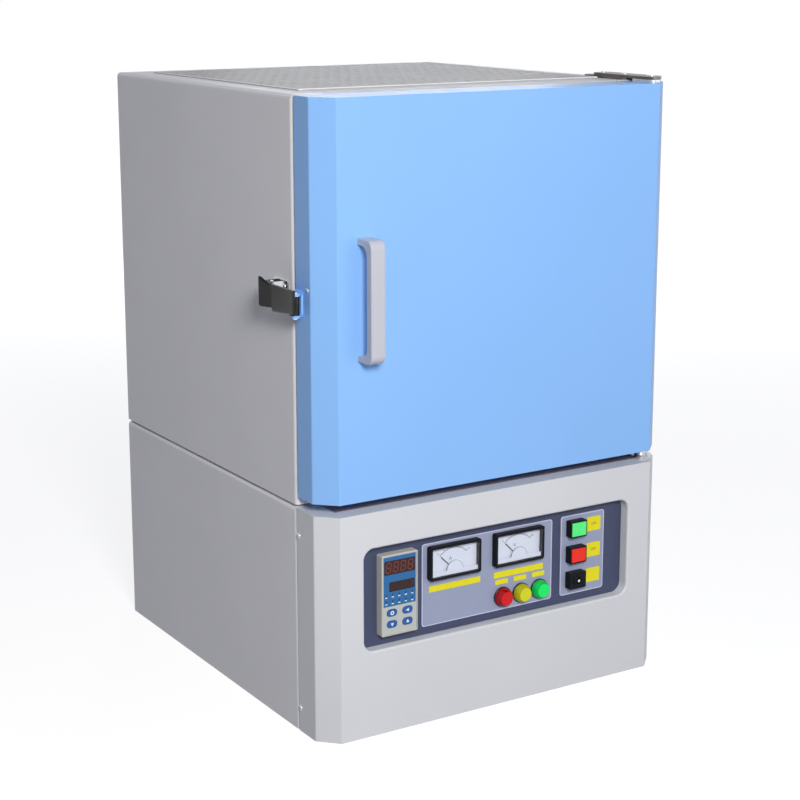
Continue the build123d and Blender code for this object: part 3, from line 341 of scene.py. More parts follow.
def splitFilm(name, upper, lower):
    # Polyester film printed from behind: blue above a level, pale grey below it and along the edges
    film = {"levelMm": 149.5, "marginMm": 0.9, "driftMm": 20, "driftTone": 0.9}
    material, tree, shader, place = newMaterial(name, {"Roughness": 0.38, "Specular IOR Level": 0.35})
    low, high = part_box("controller_fascia")
    margin = film["marginMm"] * mm
    split = addNode(tree, "ShaderNodeSeparateXYZ", sockets={0: place})
    off = addNode(tree, "ShaderNodeMath", {"operation": "SUBTRACT"}, {
        0: split.outputs["X"], 1: (low[0] + high[0]) / 2})
    side = addNode(tree, "ShaderNodeMath", {"operation": "ABSOLUTE"}, {0: off.outputs[0]})
    inside = addNode(tree, "ShaderNodeMath", {"operation": "LESS_THAN"}, {
        0: side.outputs[0], 1: (high[0] - low[0]) / 2 - margin})
    above = addNode(tree, "ShaderNodeMath", {"operation": "GREATER_THAN"}, {
        0: split.outputs["Z"], 1: film["levelMm"] * mm})
    below = addNode(tree, "ShaderNodeMath", {"operation": "LESS_THAN"}, {
        0: split.outputs["Z"], 1: high[2] - margin})
    band = addNode(tree, "ShaderNodeMath", {"operation": "MULTIPLY"}, {
        0: above.outputs[0], 1: below.outputs[0]})
    field = addNode(tree, "ShaderNodeMath", {"operation": "MULTIPLY"}, {
        0: band.outputs[0], 1: inside.outputs[0]})
    drift = addNode(tree, "ShaderNodeTexNoise", sockets={
        "Vector": place, "Scale": 1 / (film["driftMm"] * mm)})
    deep = Vector(hexColour(upper)[:3]) * film["driftTone"]
    shade = addNode(tree, "ShaderNodeMix", {"data_type": "RGBA"}, {
        0: drift.outputs["Fac"], 6: (*deep, 1), 7: hexColour(upper)})
    tone = addNode(tree, "ShaderNodeMix", {"data_type": "RGBA"}, {
        0: field.outputs[0], 6: hexColour(lower), 7: shade.outputs[2]})
    tree.links.new(tone.outputs[2], shader.inputs["Base Color"])
    return material


finish = {
    "cabinetGrey": powderCoat("powderCoatCabinetGrey", "#EAEAED"),
    "fasciaGrey": powderCoat("powderCoatFasciaGrey", "#DCDEE2"),
    # Darker than the cabinet grey: painted shade for the dimmer light that falls on the top
    "topGrey": powderCoat("powderCoatTopGrey", "#AFAFAF", 0.5),
    "doorBlue": powderCoat("powderCoatDoorBlue", "#91C3FE", 0.36),
    "panGrey": powderCoat("powderCoatPanGrey", "#B9BBBF", 0.5),
    # Painted shade: a dark plum that stands in for the shade in the gap under the door's overhang
    "paintedShadePlum": powderCoat("powderCoatGapPlum", "#8F828C", 0.55),
    "slate": powderCoat("powderCoatSlate", "#474D68", 0.5),
    "plateBlueGrey": printedSheet("anodisedPlateBlueGrey", "#9BA3BE"),
    "plateLine": printedSheet("printedLineLavender", "#D3D5EA"),
    "legendYellow": printedSheet("printedVinylYellow", "#EFE414", 0.45),
    "controllerGrey": mouldedPlastic("absWarmGrey", "#C9C8C2", 0.45),
    "smokedWindow": mouldedPlastic("smokedAcrylic", "#2E1512", 0.12, 2.5, 0.001),
    "digitRed": printedSheet("unlitDigitRed", "#7A2A22"),
    "digitDim": printedSheet("unlitDigitDim", "#562018"),
    "dialLine": printedSheet("coverLineGrey", "#6E7280"),
    "labelInk": printedSheet("labelInkBrown", "#5A5410"),
    "keyBlue": mouldedPlastic("siliconeRubberBlue", "#2C5FA4", 0.5),
    "printWhite": printedSheet("printedWhite", "#E9F0F8"),
    "blackPlastic": mouldedPlastic("absBlack", "#0B0C14", 0.4, specular=0.12),
    "blackGloss": mouldedPlastic("phenolicBlackGloss", "#030304", 0.12, 4.5, 0.06, 0.36),
    "dialWhite": printedSheet("enamelledDialWhite", "#E4EAF8"),
    "dialInk": printedSheet("dialInkBlack", "#2A2C36"),
    "pointerBlack": printedSheet("blackenedAluminium", "#22242C"),
    "clearPane": clearPane("castAcrylicClear"),
    "lensRed": tintedLens("polycarbonateRed", "#DE0810", 0.05, 0.5),
    "lensYellow": tintedLens("polycarbonateYellow", "#DFE01C", 0.05, 0.62),
    "lensGreen": tintedLens("polycarbonateGreen", "#02F268", 0.12, 0.55),
    "capGreen": tintedLens("pushCapGreen", "#5CF686", 0.12, 0.85),
    "capRed": tintedLens("pushCapRed", "#F42A1E", 0.1, 0.85),
    "lampNickel": platedSteel("blackenedNickel", "#43444A", 0.26),
    "brightSteel": platedSteel("polishedSteel", "#D9DADC", 0.14),
    "zinc": platedSteel("zincPlatedSteel", "#C7C9CC", 0.3),
    "hingeGrey": platedSteel("phosphatedSteelGrey", "#6A6664", 0.38),
    "handleSilver": powderCoat("satinSilverEnamel", "#C3C5D0", 0.3),
    "glandBlack": mouldedPlastic("nylonBlack", "#17181B", 0.5),
    "fibreBoard": firedCeramic("ceramicFibreBoard", "#ECE7DC", 1.6, 0.25),
    "ceramicPaper": firedCeramic("ceramicPaperWhite", "#F6F6F4", 1.2, 0.05, specks=0.03),
    # Painted highlight: near-white for the rods on the top's edges and folds, where those edges catch the
    # light
    "paintedEdgeHighlight": powderCoat("powderCoatThinAtEdges", "#F6F6F8", 0.3),
    "sealRope": firedCeramic("braidedCeramicRope", "#EDEAE2", 1.2, 0.3),
    "alumina": firedCeramic("firedAlumina", "#E9E2D2", 2.2, 0.12, 0.75),
    "hearth": firedCeramic("cordieriteHearth", "#D8C6A4", 2.8, 0.15, 0.85),
    "elementAlloy": platedSteel("oxidisedHeatingAlloy", "#6E675F", 0.55),
    "probeSheath": firedCeramic("mulliteSheath", "#E3DDCB", 1.5, 0.05, 0.6),
    "gearZinc": platedSteel("galvanisedSheet", "#B9BCBE", 0.42, 8.0, (1, 1, 1)),
    "heatsink": platedSteel("anodisedHeatsinkBlack", "#2A2B2E", 0.45),
    "printedFascia": splitFilm("printedFasciaFilm", "#2C6EA8", "#C3C6C2"),
}

dress = {
    "cabinetGrey": ("lower_side_panels", "upper_side_panels", "lower_rear_cover", "upper_rear_cover",
                    "base_pan"),
    # The deck plate between the cabinets takes the same painted shade
    "paintedShadePlum": ("deck_plate",),
    "topGrey": ("top_vent_cover",),
    "fasciaGrey": ("control_fascia", "front_frame"),
    "doorBlue": ("door_skin", "latch_bracket"),
    "panGrey": ("door_inner_pan",),
    "slate": ("instrument_backplate",),
    "plateBlueGrey": ("instrument_plates",),
    "legendYellow": ("legend_plates",),
    "controllerGrey": ("controller_case",),
    "printedFascia": ("controller_fascia",),
    "smokedWindow": ("controller_window",),
    "keyBlue": ("controller_key_set", "controller_key_shift", "controller_key_down", "controller_key_up"),
    "blackPlastic": ("meter_housings", "switch_bodies", "lock_barrel", "switch_gear"),
    "dialWhite": ("meter_dials",),
    "pointerBlack": ("ammeter_needle", "voltmeter_needle"),
    "clearPane": ("meter_windows",),
    "lampNickel": ("lamp_bodies",),
    "zinc": ("hinge_bottom_bracket", "casing_screws", "hinge_screws", "latch_screws", "hinge_bushes"),
    "lensRed": ("lamp_lens_red",),
    "lensYellow": ("lamp_lens_yellow",),
    "lensGreen": ("lamp_lens_green",),
    "capGreen": ("start_button_cap",),
    "capRed": ("stop_button_cap",),
    "fibreBoard": ("insulation_boards", "door_insulation", "door_plug"),
    "sealRope": ("door_seal",),
    "handleSilver": ("door_handle",),
    "hingeGrey": ("hinge_top_base", "hinge_top_arm"),
    "brightSteel": ("hinge_top_pin", "latch_pin", "latch_strike"),
    "blackGloss": ("latch_lever",),
    "alumina": ("muffle_chamber", "element_terminals"),
    "hearth": ("hearth_plate",),
    "elementAlloy": ("heating_elements",),
    "probeSheath": ("thermocouple",),
    "glandBlack": ("cable_gland",),
    "gearZinc": ("gear_plate",),
    "heatsink": ("power_regulator",),
}


def dressFrame():
    for finishName, nodes in dress.items():
        for node in nodes:
            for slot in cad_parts[node].material_slots:
                slot.material = finish[finishName]


dressFrame()
print("finishes are on the frame")


# Tools for the pieces that the scene adds

def islands(node):
    # The boxes of a node's separate solids, read from a merged copy of its mesh
    work = bmesh.new()
    work.from_mesh(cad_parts[node].data)
    bmesh.ops.remove_doubles(work, verts=work.verts, dist=weldDistance)
    work.verts.ensure_lookup_table()
    work.verts.index_update()
    boxes, seen = [], set()
    for start in work.verts:
        if start.index in seen:
            continue
        seen.add(start.index)
        stack, found = [start], []
        while stack:
            vertex = stack.pop()
            found.append(vertex.co.copy())
            for edge in vertex.link_edges:
                other = edge.other_vert(vertex)
                if other.index not in seen:
                    seen.add(other.index)
                    stack.append(other)
        low = Vector([min(point[i] for point in found) for i in range(3)])
        high = Vector([max(point[i] for point in found) for i in range(3)])
        boxes.append((low, high))
    work.free()
    return boxes


def newTree(name, inputs):
    tree = bpy.data.node_groups.new(name, "GeometryNodeTree")
    tree.interface.new_socket(name="Geometry", in_out="INPUT", socket_type="NodeSocketGeometry")
    for label, kind in inputs.items():
        tree.interface.new_socket(name=label, in_out="INPUT", socket_type="NodeSocket" + kind)
    tree.interface.new_socket(name="Geometry", in_out="OUTPUT", socket_type="NodeSocketGeometry")
    return tree, addNode(tree, "NodeGroupInput").outputs


def closeTree(tree, geometry, material):
    real = addNode(tree, "GeometryNodeRealizeInstances", sockets={0: geometry})
    painted = addNode(tree, "GeometryNodeSetMaterial", sockets={0: real.outputs[0], "Material": material})
    addNode(tree, "NodeGroupOutput", sockets={0: painted.outputs[0]})


def grown(name, tree, values, source=None):
    # The plain mesh that a tree makes from its named inputs, on the source's points where it has one
    piece = source or meshPiece(name, [], [])
    piece.name = name
    modifier = piece.modifiers.new("build", "NODES")
    modifier.node_group = tree
    for item in tree.interface.items_tree:
        if item.in_out == "INPUT" and item.name in values:
            modifier[item.identifier] = values[item.name]
    return applied(piece)


def pointCloud(name, places, aims=None, sizes=None):
    mesh = bpy.data.meshes.new(name)
    mesh.from_pydata([tuple(place) for place in places], [], [])
    if aims:
        layer = mesh.attributes.new("aim", "FLOAT_VECTOR", "POINT")
        for index, aim in enumerate(aims):
            layer.data[index].vector = aim
    if sizes:
        layer = mesh.attributes.new("size", "FLOAT", "POINT")
        for index, size in enumerate(sizes):
            layer.data[index].value = size
    piece = bpy.data.objects.new(name, mesh)
    scene.collection.objects.link(piece)
    return piece


def lettering(name, words, heightMm, centre):
    # Plain figures, flat and facing the front
    capital = 0.7  # a capital's share of the font's size
    curve = bpy.data.curves.new(name, "FONT")
    curve.body = words
    curve.size = heightMm * mm / capital
    curve.extrude = letterLift
    curve.align_x = "CENTER"
    curve.align_y = "CENTER"
    piece = bpy.data.objects.new(name, curve)
    scene.collection.objects.link(piece)
    piece.location = centre
    piece.rotation_euler = (math.pi / 2, 0, 0)
    return applied(piece)


def printOn(name, outlines, yFace):
    # Thin printed shapes that lie on a face which looks to the front
    return joined(name, [frontPlate(name, outline, yFace - printThick, yFace) for outline in outlines])


# Screws: pan heads with a cross recess, put on the points where the plain ones stand

screw = {"segments": 28, "headHeight": 0.5, "recessWide": 0.24, "recessLong": 1.15, "recessDeep": 0.3,
         "recessOver": 0.1}


def screwHead():
    # A head of radius 1, which each point's size scales to the radius of its screw
    top = screw["headHeight"]
    profile = [(0.97, -0.02), (1.0, 0.05), (0.96, top * 0.55),
               (0.84, top * 0.8), (0.6, top * 0.95), (0.3, top)]
    head = lathed("screwHead", profile, (0, 0, 0), (0, 0, 1), screw["segments"])
    wide, long = screw["recessWide"] / 2, screw["recessLong"] / 2
    for x, y in ((wide, long), (long, wide)):
        cutter = block("recess", (-x, -y, top - screw["recessDeep"]), (x, y, top + screw["recessOver"]))
        cut = head.modifiers.new("recess", "BOOLEAN")
        cut.operation = "DIFFERENCE"
        cut.solver = "EXACT"
        cut.object = cutter
        head = applied(head)
        bpy.data.objects.remove(cutter)
    return head


def screwTree():
    tree, given = newTree("screws", {"Head": "Object"})
    info = addNode(tree, "GeometryNodeObjectInfo", sockets={"Object": given["Head"]})
    aim = addNode(tree, "GeometryNodeInputNamedAttribute", {"data_type": "FLOAT_VECTOR"}, {"Name": "aim"})
    size = addNode(tree, "GeometryNodeInputNamedAttribute", {"data_type": "FLOAT"}, {"Name": "size"})
    turn = addNode(tree, "FunctionNodeAlignRotationToVector", {"axis": "Z"}, {"Vector": aim.outputs[0]})
    copies = addNode(tree, "GeometryNodeInstanceOnPoints", sockets={
        "Points": given["Geometry"], "Instance": info.outputs["Geometry"], "Rotation": turn.outputs[0],
        "Scale": size.outputs[0]})
    closeTree(tree, copies.outputs[0], finish["zinc"])
    return tree


def makeScrews():
    head = screwHead()
    tree = screwTree()
    for name, body, nodes in (("casingScrewHeads", "cabinet", ("casing_screws", "hinge_screws")),
                              ("latchScrewHeads", "door", ("latch_screws",))):
        places, aims, sizes = [], [], []
        for node in nodes:
            for low, high in islands(node):
                middle = (low + high) / 2
                if node == "hinge_screws":
                    aim, wide = Vector((0, 0, 1)), high.x - low.x
                    places.append(Vector((middle.x, middle.y, high.z - screw["headHeight"] * wide / 2)))
                else:
                    aim, wide = Vector((-1 if middle.x < 0 else 1, 0, 0)), high.z - low.z
                    height = screw["headHeight"] * wide / 2
                    outer = low.x if middle.x < 0 else high.x
                    places.append(Vector((outer - aim.x * height, middle.y, middle.z)))
                aims.append(aim)
                sizes.append(wide / 2)
        piece = grown(name, tree, {"Head": head}, pointCloud(name, places, aims, sizes))
        seat(piece, body, finish["zinc"])
        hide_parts(*nodes)
    bpy.data.objects.remove(head)


makeScrews()
print("screws are in")


# Controller: unlit figures behind the panes, rows of marks and signs on the keys

controller = {
    "digits": 4, "digitWide": 7.2, "digitHigh": 12.4, "digitPitch": 9.7, "barMm": 1.3, "lean": 0.12,
    "smallWide": 4.2, "smallHigh": 7.6, "smallRight": 5.5, "smallBarMm": 1.0,
    "marks": 5, "markRows": (160.4, 152.5), "markFirst": 6.2, "markPitch": 8.65, "markWide": 3.0,
    "markHigh": 1.2, "markCorner": 0.3, "lampUp": 2.9, "lampSize": 0.9,
    "signMm": 2.5, "signStretch": 1.05, "setHole": 0.45,
}


def digitBars(cx, cz, wide, high, bar, lit="abcdefg"):
    # The bars of a seven-bar figure as six-cornered outlines that lean to the right
    spots = {"a": (0, 0.5, 1), "g": (0, 0, 1), "d": (0, -0.5, 1), "f": (-0.5, 0.25, 0), "b": (0.5, 0.25, 0),
             "e": (-0.5, -0.25, 0), "c": (0.5, -0.25, 0)}
    outlines = []
    for key in lit:
        sx, sz, flat = spots[key]
        x, z, t = sx * wide, sz * high, bar / 2
        half = (wide if flat else high / 2) / 2 - bar * 0.2
        if flat:
            points = [(x - half, z), (x - half + t, z - t), (x + half - t, z - t),
                      (x + half, z), (x + half - t, z + t), (x - half + t, z + t)]
        else:
            points = [(x, z - half), (x + t, z - half + t), (x + t, z + half - t),
                      (x, z + half), (x - t, z + half - t), (x - t, z - half + t)]
        outlines.append([((cx + px + pz * controller["lean"]) * mm, (cz + pz) * mm) for px, pz in points])
    return outlines


def makeFigures():
    panes = sorted(islands("controller_window"), key=lambda box: -box[1].z)
    upper, lower = [(low + high) / 2 / mm for low, high in panes]
    bars, bar = [], controller["barMm"]
    for n in range(controller["digits"]):
        cx = upper.x + (n - (controller["digits"] - 1) / 2) * controller["digitPitch"]
        bars += digitBars(cx, upper.z, controller["digitWide"] - bar, controller["digitHigh"] - bar, bar)
    figures = printOn("displayFigures", bars, panes[0][0].y)
    seat(figures, "cabinet", finish["digitRed"], False)
    one = digitBars(panes[1][1].x / mm - controller["smallRight"], lower.z, controller["smallWide"],
                    controller["smallHigh"], controller["smallBarMm"], "bc")
    figure = printOn("displaySetFigure", one, panes[1][0].y)
    seat(figure, "cabinet", finish["digitDim"], False)


def makeMarks():
    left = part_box("controller_case")[0][0] / mm
    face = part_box("controller_fascia")[0][1]
    wide, high, corner, dot = [controller[size] * mm
                               for size in ("markWide", "markHigh", "markCorner", "lampSize")]
    marks, lampDots = [], []
    for row in controller["markRows"]:
        for n in range(controller["marks"]):
            x = (left + controller["markFirst"] + n * controller["markPitch"]) * mm
            marks.append(roundedOutline(x, row * mm, wide, high, corner, 2))
            lampDots.append(ringOutline(x, (row + controller["lampUp"]) * mm, dot, 12))
    seat(printOn("fasciaMarks", marks, face), "cabinet", finish["printWhite"], False)
    dots = printOn("fasciaLampDots", lampDots, face)
    seat(dots, "cabinet", finish["smokedWindow"], False)


def makeKeySigns():
    # Arrow heads on three keys and a ring on the set key
    reach = controller["signMm"] * mm
    for key, aim in (("shift", 180), ("down", 270), ("up", 90), ("set", None)):
        low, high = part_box("controller_key_" + key)
        cx, cz = (low[0] + high[0]) / 2, (low[2] + high[2]) / 2
        if aim is None:
            sign = frontPlate(key + "KeySign", ringOutline(cx, cz, reach), low[1] - printThick, low[1],
                              ringOutline(cx, cz, reach * controller["setHole"]))
        else:
            turns = [math.radians(aim + step) for step in (0, 125, 235)]
            corners = [(cx + reach * math.cos(turn) * controller["signStretch"], cz + reach * math.sin(turn))
                       for turn in turns]
            sign = printOn(key + "KeySign", [corners], low[1])
        seat(sign, "key_" + key, finish["printWhite"], False)


makeFigures()
makeMarks()
makeKeySigns()
print("controller print is on")


# Meters: scale arc, ticks, figures and the arched cover over the movement

meter = {
    "pivotRise": 5.2, "arcRadius": 25.6, "arcWidth": 0.45, "halfSweep": 45, "steps": 40,
    "majors": 7, "minors": 31, "majorLong": 2.4, "minorLong": 1.4, "tickWide": 0.35, "tickThick": 0.04,
    "tickLift": 0.01, "figures": 4, "figureRadius": 28.6, "figureMm": 2.1,
    "unitMm": 4.2, "unitRise": 18.5, "unitLeft": 4.0,
    "coverRadius": 11.5, "coverLift": 3.2, "coverThick": 0.6, "coverMargin": 0.4, "coverSteps": 32,
    "lineWide": 0.4, "lineLap": 0.02, "lineStart": 4, "lineSink": 0.1,
}


def tickTree():
    tree, given = newTree("scaleTicks", {
        "Count": "Int", "Radius": "Float", "Start": "Float", "Sweep": "Float", "Length": "Float",
        "Width": "Float", "Thick": "Float", "Centre": "Vector"})
    arc = addNode(tree, "GeometryNodeCurveArc", {"mode": "RADIUS"}, {
        "Resolution": 96, "Radius": given["Radius"], "Start Angle": given["Start"],
        "Sweep Angle": given["Sweep"]})
    points = addNode(tree, "GeometryNodeCurveToPoints", {"mode": "COUNT"}, {
        "Curve": arc.outputs[0], "Count": given["Count"]})
    size = addNode(tree, "ShaderNodeCombineXYZ", sockets={
        0: given["Width"], 1: given["Length"], 2: given["Thick"]})
    tick = addNode(tree, "GeometryNodeMeshCube", sockets={"Size": size.outputs[0]})
    outward = addNode(tree, "GeometryNodeInputPosition")
    turn = addNode(tree, "FunctionNodeAlignRotationToVector", {"axis": "Y"}, {"Vector": outward.outputs[0]})
    copies = addNode(tree, "GeometryNodeInstanceOnPoints", sockets={
        "Points": points.outputs[0], "Instance": tick.outputs[0], "Rotation": turn.outputs[0]})
    upright = addNode(tree, "GeometryNodeTransform", sockets={
        "Geometry": copies.outputs[0], "Rotation": (math.pi / 2, 0, 0), "Translation": given["Centre"]})
    closeTree(tree, upright.outputs[0], finish["dialInk"])
    return tree


def arcStrip(name, centre, radii, angles, steps, yFront, yBack):
    # A curved strip made of short blocks that share their ends
    near, far = [arcPoints(*centre, radius, *angles, steps) for radius in radii]
    vertices = []
    for (ax, az), (bx, bz) in zip(near, far):
        vertices += [(ax, yFront, az), (bx, yFront, bz), (bx, yBack, bz), (ax, yBack, az)]
    last = 4 * steps
    faces = [(p + k, p + (k + 1) % 4, p + 4 + (k + 1) % 4, p + 4 + k)
             for p in range(0, last, 4) for k in range(4)]
    faces += [(0, 1, 2, 3), (last, last + 3, last + 2, last + 1)]
    piece = meshPiece(name, vertices, faces)
    turnOut(piece)
    return piece


def makeScale(label, pivot, dial, unit, fullScale):
    (cx, cz), face, tree = pivot, dial[0].y, tickTree()
    start, sweep = 90 + meter["halfSweep"], -2 * meter["halfSweep"]
    radii = [(meter["arcRadius"] + side * meter["arcWidth"] / 2) * mm for side in (-1, 1)]
    parts = [arcStrip("arc", pivot, radii, (start, start + sweep), meter["steps"], face - printThick, face)]
    for count, long in ((meter["majors"], meter["majorLong"]), (meter["minors"], meter["minorLong"])):
        parts.append(grown("ticks", tree, {
            "Count": count, "Radius": (meter["arcRadius"] + long / 2) * mm, "Start": math.radians(start),
            "Sweep": math.radians(sweep), "Length": long * mm, "Width": meter["tickWide"] * mm,
            "Thick": meter["tickThick"] * mm, "Centre": (cx, face - meter["tickLift"] * mm, cz)}))
    last = meter["figures"] - 1
    for n in range(meter["figures"]):
        angle = math.radians(start + sweep * n / last)
        radius = (meter["figureRadius"] + (meter["majorLong"] / 2 if n in (0, last) else 0)) * mm
        spot = (cx + radius * math.cos(angle), face - letterLift, cz + radius * math.sin(angle))
        parts.append(lettering("figure", str(fullScale * n // last), meter["figureMm"], spot))
    spot = (cx - meter["unitLeft"] * mm, face - letterLift, dial[0].z + meter["unitRise"] * mm)
    parts.append(lettering("unit", unit, meter["unitMm"], spot))
    seat(joined(label + "Scale", parts), "cabinet", finish["dialInk"], False)


def makeMovementCover(label, pivot, dial):
    low, high = dial
    back = low.y - meter["coverLift"] * mm
    front = back - meter["coverThick"] * mm
    radius, margin = meter["coverRadius"] * mm, meter["coverMargin"] * mm
    left, right, base = low.x + margin, high.x - margin, low.z + margin
    outline = arcPoints(*pivot, radius, 0, 180, meter["coverSteps"])
    outline += [(left, pivot[1]), (left, base), (right, base), (right, pivot[1])]
    cover = frontPlate(label + "MovementCover", outline, front, back)
    seat(cover, "cabinet", finish["dialWhite"], False)
    radii = radius - meter["lineWide"] * mm, radius + meter["lineLap"] * mm
    line = arcStrip(label + "CoverLine", pivot, radii, (meter["lineStart"], 180 - meter["lineStart"]),
                    meter["coverSteps"], front - printThick, back - meter["lineSink"] * mm)
    seat(line, "cabinet", finish["dialLine"], False)


dials = sorted(islands("meter_dials"), key=lambda box: box[0].x)
for label, dial, unit, fullScale in (("ammeter", dials[0], "A", 30), ("voltmeter", dials[1], "V", 300)):
    pivot = (dial[0].x + dial[1].x) / 2, dial[0].z + meter["pivotRise"] * mm
    makeScale(label, pivot, dial, unit, fullScale)
    makeMovementCover(label, pivot, dial)
print("meter scales are drawn")


# Instrument plates: the pale line round each, yellow strips, plain ON and OFF by the buttons, the lock's pin

plates = {
    "lineWide": 1.1, "lineInset": 0.1, "corner": 3.5,
    "squareFrom": 12.0, "longFrom": 40.0, "longHigh": 7.2, "smallHigh": 5.8, "legendCorner": 0.6,
    "wordMm": 3.4,
    "pinProfile": ((1.7, -1.0), (1.7, 0.1), (1.3, 0.4), (0.6, 0.55)),
}


def makePlateLines():
    rings = []
    line, inset, corner = [plates[size] * mm for size in ("lineWide", "lineInset", "corner")]
    for low, high in islands("instrument_plates"):
        cx, cz, wide, tall = (low.x + high.x) / 2, (low.z + high.z) / 2, high.x - low.x, high.z - low.z
        outer = roundedOutline(cx, cz, wide - inset, tall - inset, corner)
        inner = roundedOutline(cx, cz, wide - 2 * line, tall - 2 * line, corner - line)
        rings.append(frontPlate("line", outer, low.y - printThick, low.y, inner))
    seat(joined("plateLines", rings), "cabinet", finish["plateLine"], False)


def makeLegends():
    # Yellow vinyl strips with cut corners; the long and the small ones are trimmed to their one line's height
    strips = []
    for low, high in islands("legend_plates"):
        wide, tall = high.x - low.x, high.z - low.z
        if tall < plates["squareFrom"] * mm:
            tall = (plates["longHigh"] if wide > plates["longFrom"] * mm else plates["smallHigh"]) * mm
        outline = roundedOutline((low.x + high.x) / 2, (low.z + high.z) / 2, wide, tall,
                                 plates["legendCorner"] * mm, 3)
        strips.append(frontPlate("strip", outline, low.y, high.y))
    piece = joined("legendStrips", strips)
    seat(piece, "cabinet", finish["legendYellow"])
    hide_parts("legend_plates")


def makeLabelWords():
    squares = [box for box in islands("legend_plates") if box[1].z - box[0].z > plates["squareFrom"] * mm]
    squares.sort(key=lambda box: -box[0].z)
    words = []
    for (low, high), word in zip(squares, ("ON", "OFF")):
        spot = ((low.x + high.x) / 2, low.y - letterLift, (low.z + high.z) / 2)
        words.append(lettering("word", word, plates["wordMm"], spot))
    seat(joined("labelWords", words), "cabinet", finish["labelInk"], False)


def makeLockPin():
    low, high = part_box("lock_barrel")
    spot = ((low[0] + high[0]) / 2, low[1], (low[2] + high[2]) / 2)
    profile = [(radius * mm, height * mm) for radius, height in plates["pinProfile"]]
    pin = lathed("lockPin", profile, spot, (0, -1, 0), 24)
    seat(pin, "key_switch", finish["brightSteel"])


makePlateLines()
makeLabelWords()
makeLegends()
makeLockPin()
print("plates and labels are drawn")


# Casing top: pale ceramic paper under the perforated plate, and thin near-white rods on its edges and folds
# that paint their highlights. Below the door, a dark plum sheet on the fascia's top that paints the door's
# shade

top = {
    "paperDown": 1.0, "paperThick": 0.5, "paperInset": 9.0,
    "edgeRod": 0.8, "edgeSink": 0.35, "foldRod": 0.8, "foldAngle": 58, "foldSink": 0.45, "foldEnd": 1.0,
    "shadeStart": 21.0, "shadeEnd": 2.0, "shadeInset": 27.0, "shadeSink": 0.1, "shadeThick": 0.4,
}


def makeVentPaper():
    low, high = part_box("top_vent_cover")
    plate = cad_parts["top_vent_cover"].data.vertices
    under = max(point.co.z for point in plate if point.co.z < high[2] - 0.5 * mm)
    inset, face = top["paperInset"] * mm, under - top["paperDown"] * mm
    paper = block("ventBackingPaper", (low[0] + inset, low[1] + inset, face - top["paperThick"] * mm),
                  (high[0] - inset, high[1] - inset, face))
    seat(paper, "cabinet", finish["ceramicPaper"], False)


def rodAlong(start, axis, radius, length):
    return lathed("rod", [(radius, 0), (radius, length)], start, axis, 12)


def makePaintedEdgeHighlights():
    # Painted highlight: near-white rods along the top cover's edges and the side panels' folds, drawing the
    # light they catch
    low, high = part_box("top_vent_cover")
    rod, z = top["edgeRod"] * mm, high[2] - top["edgeSink"] * mm
    wide, long = high[0] - low[0], high[1] - low[1]
    rods = [rodAlong((x, low[1], z), (0, 1, 0), rod, long) for x in (low[0] + rod, high[0] - rod)]
    rods += [rodAlong((low[0], y, z), (1, 0, 0), rod, wide) for y in (low[1] + rod, high[1] - rod)]
    left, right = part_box("upper_side_panels")
    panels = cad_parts["upper_side_panels"].data.vertices
    straight = max(point.co.z for point in panels if abs(point.co.x - left[0]) < 0.01 * mm)
    bend = right[2] - straight
    turn, reach, end = math.radians(top["foldAngle"]), bend - top["foldSink"] * mm, top["foldEnd"] * mm
    for side, edge in ((-1, left[0]), (1, right[0])):
        start = (edge - side * bend + side * reach * math.sin(turn), left[1] + end,
                 straight + reach * math.cos(turn))
        rods.append(rodAlong(start, (0, 1, 0), top["foldRod"] * mm, right[1] - left[1] - 2 * end))
    seat(joined("topEdgeLines", rods), "cabinet", finish["paintedEdgeHighlight"])


def makePaintedShadeSheet():
    # Painted shade: a dark plum sheet on the fascia's top, back from its front edge, where the door's
    # overhang shades it
    low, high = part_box("control_fascia")
    inset = top["shadeInset"] * mm
    shadeSheet = block("underDoorLiner",
                  (low[0] + inset, low[1] + top["shadeStart"] * mm, high[2] - top["shadeSink"] * mm),
                  (high[0] - inset, high[1] - top["shadeEnd"] * mm, high[2] + top["shadeThick"] * mm))
    seat(shadeSheet, "cabinet", finish["paintedShadePlum"], False)


makeVentPaper()
makePaintedEdgeHighlights()
makePaintedShadeSheet()
print("top has its edge lines")


# Latch lever: the same moulding with its edges broken, so that they catch the light

lever = {"edgeMm": 1.5, "steps": 4, "angle": 28, "flat": 1}


def makeLever():
    work = bmesh.new()
    work.from_mesh(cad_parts["latch_lever"].data)
    bmesh.ops.remove_doubles(work, verts=work.verts, dist=weldDistance)
    flat = math.radians(lever["flat"])
    bmesh.ops.dissolve_limit(work, angle_limit=flat, verts=work.verts, edges=work.edges)
    piece = meshPiece("latchLeverMoulding", [], [])
    work.to_mesh(piece.data)
    work.free()
    edge = piece.modifiers.new("edge", "BEVEL")
    edge.width = lever["edgeMm"] * mm
    edge.segments = lever["steps"]
    edge.limit_method = "ANGLE"
    edge.angle_limit = math.radians(lever["angle"])
    piece = applied(piece)
    seat(piece, "latch", finish["blackGloss"])
    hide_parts("latch_lever")


makeLever()
print("latch lever has its edges")


# Rear covers: a pressed hood over each vent slot

louvre = {
    "longMm": 66.0, "highMm": 9.0, "outMm": 3.6, "rows": 6, "pitchMm": 14.0, "aboveMm": 1.2, "sheetMm": 1.2,
    "offMm": 0.3, "across": 14, "down": 6, "shoulder": 5,
    # Each group's columns, their pitch and the height of its foot
    "groups": ((2, 192.0, 122.5), (3, 120.0, 602.0), (3, 120.0, 308.0)),
}


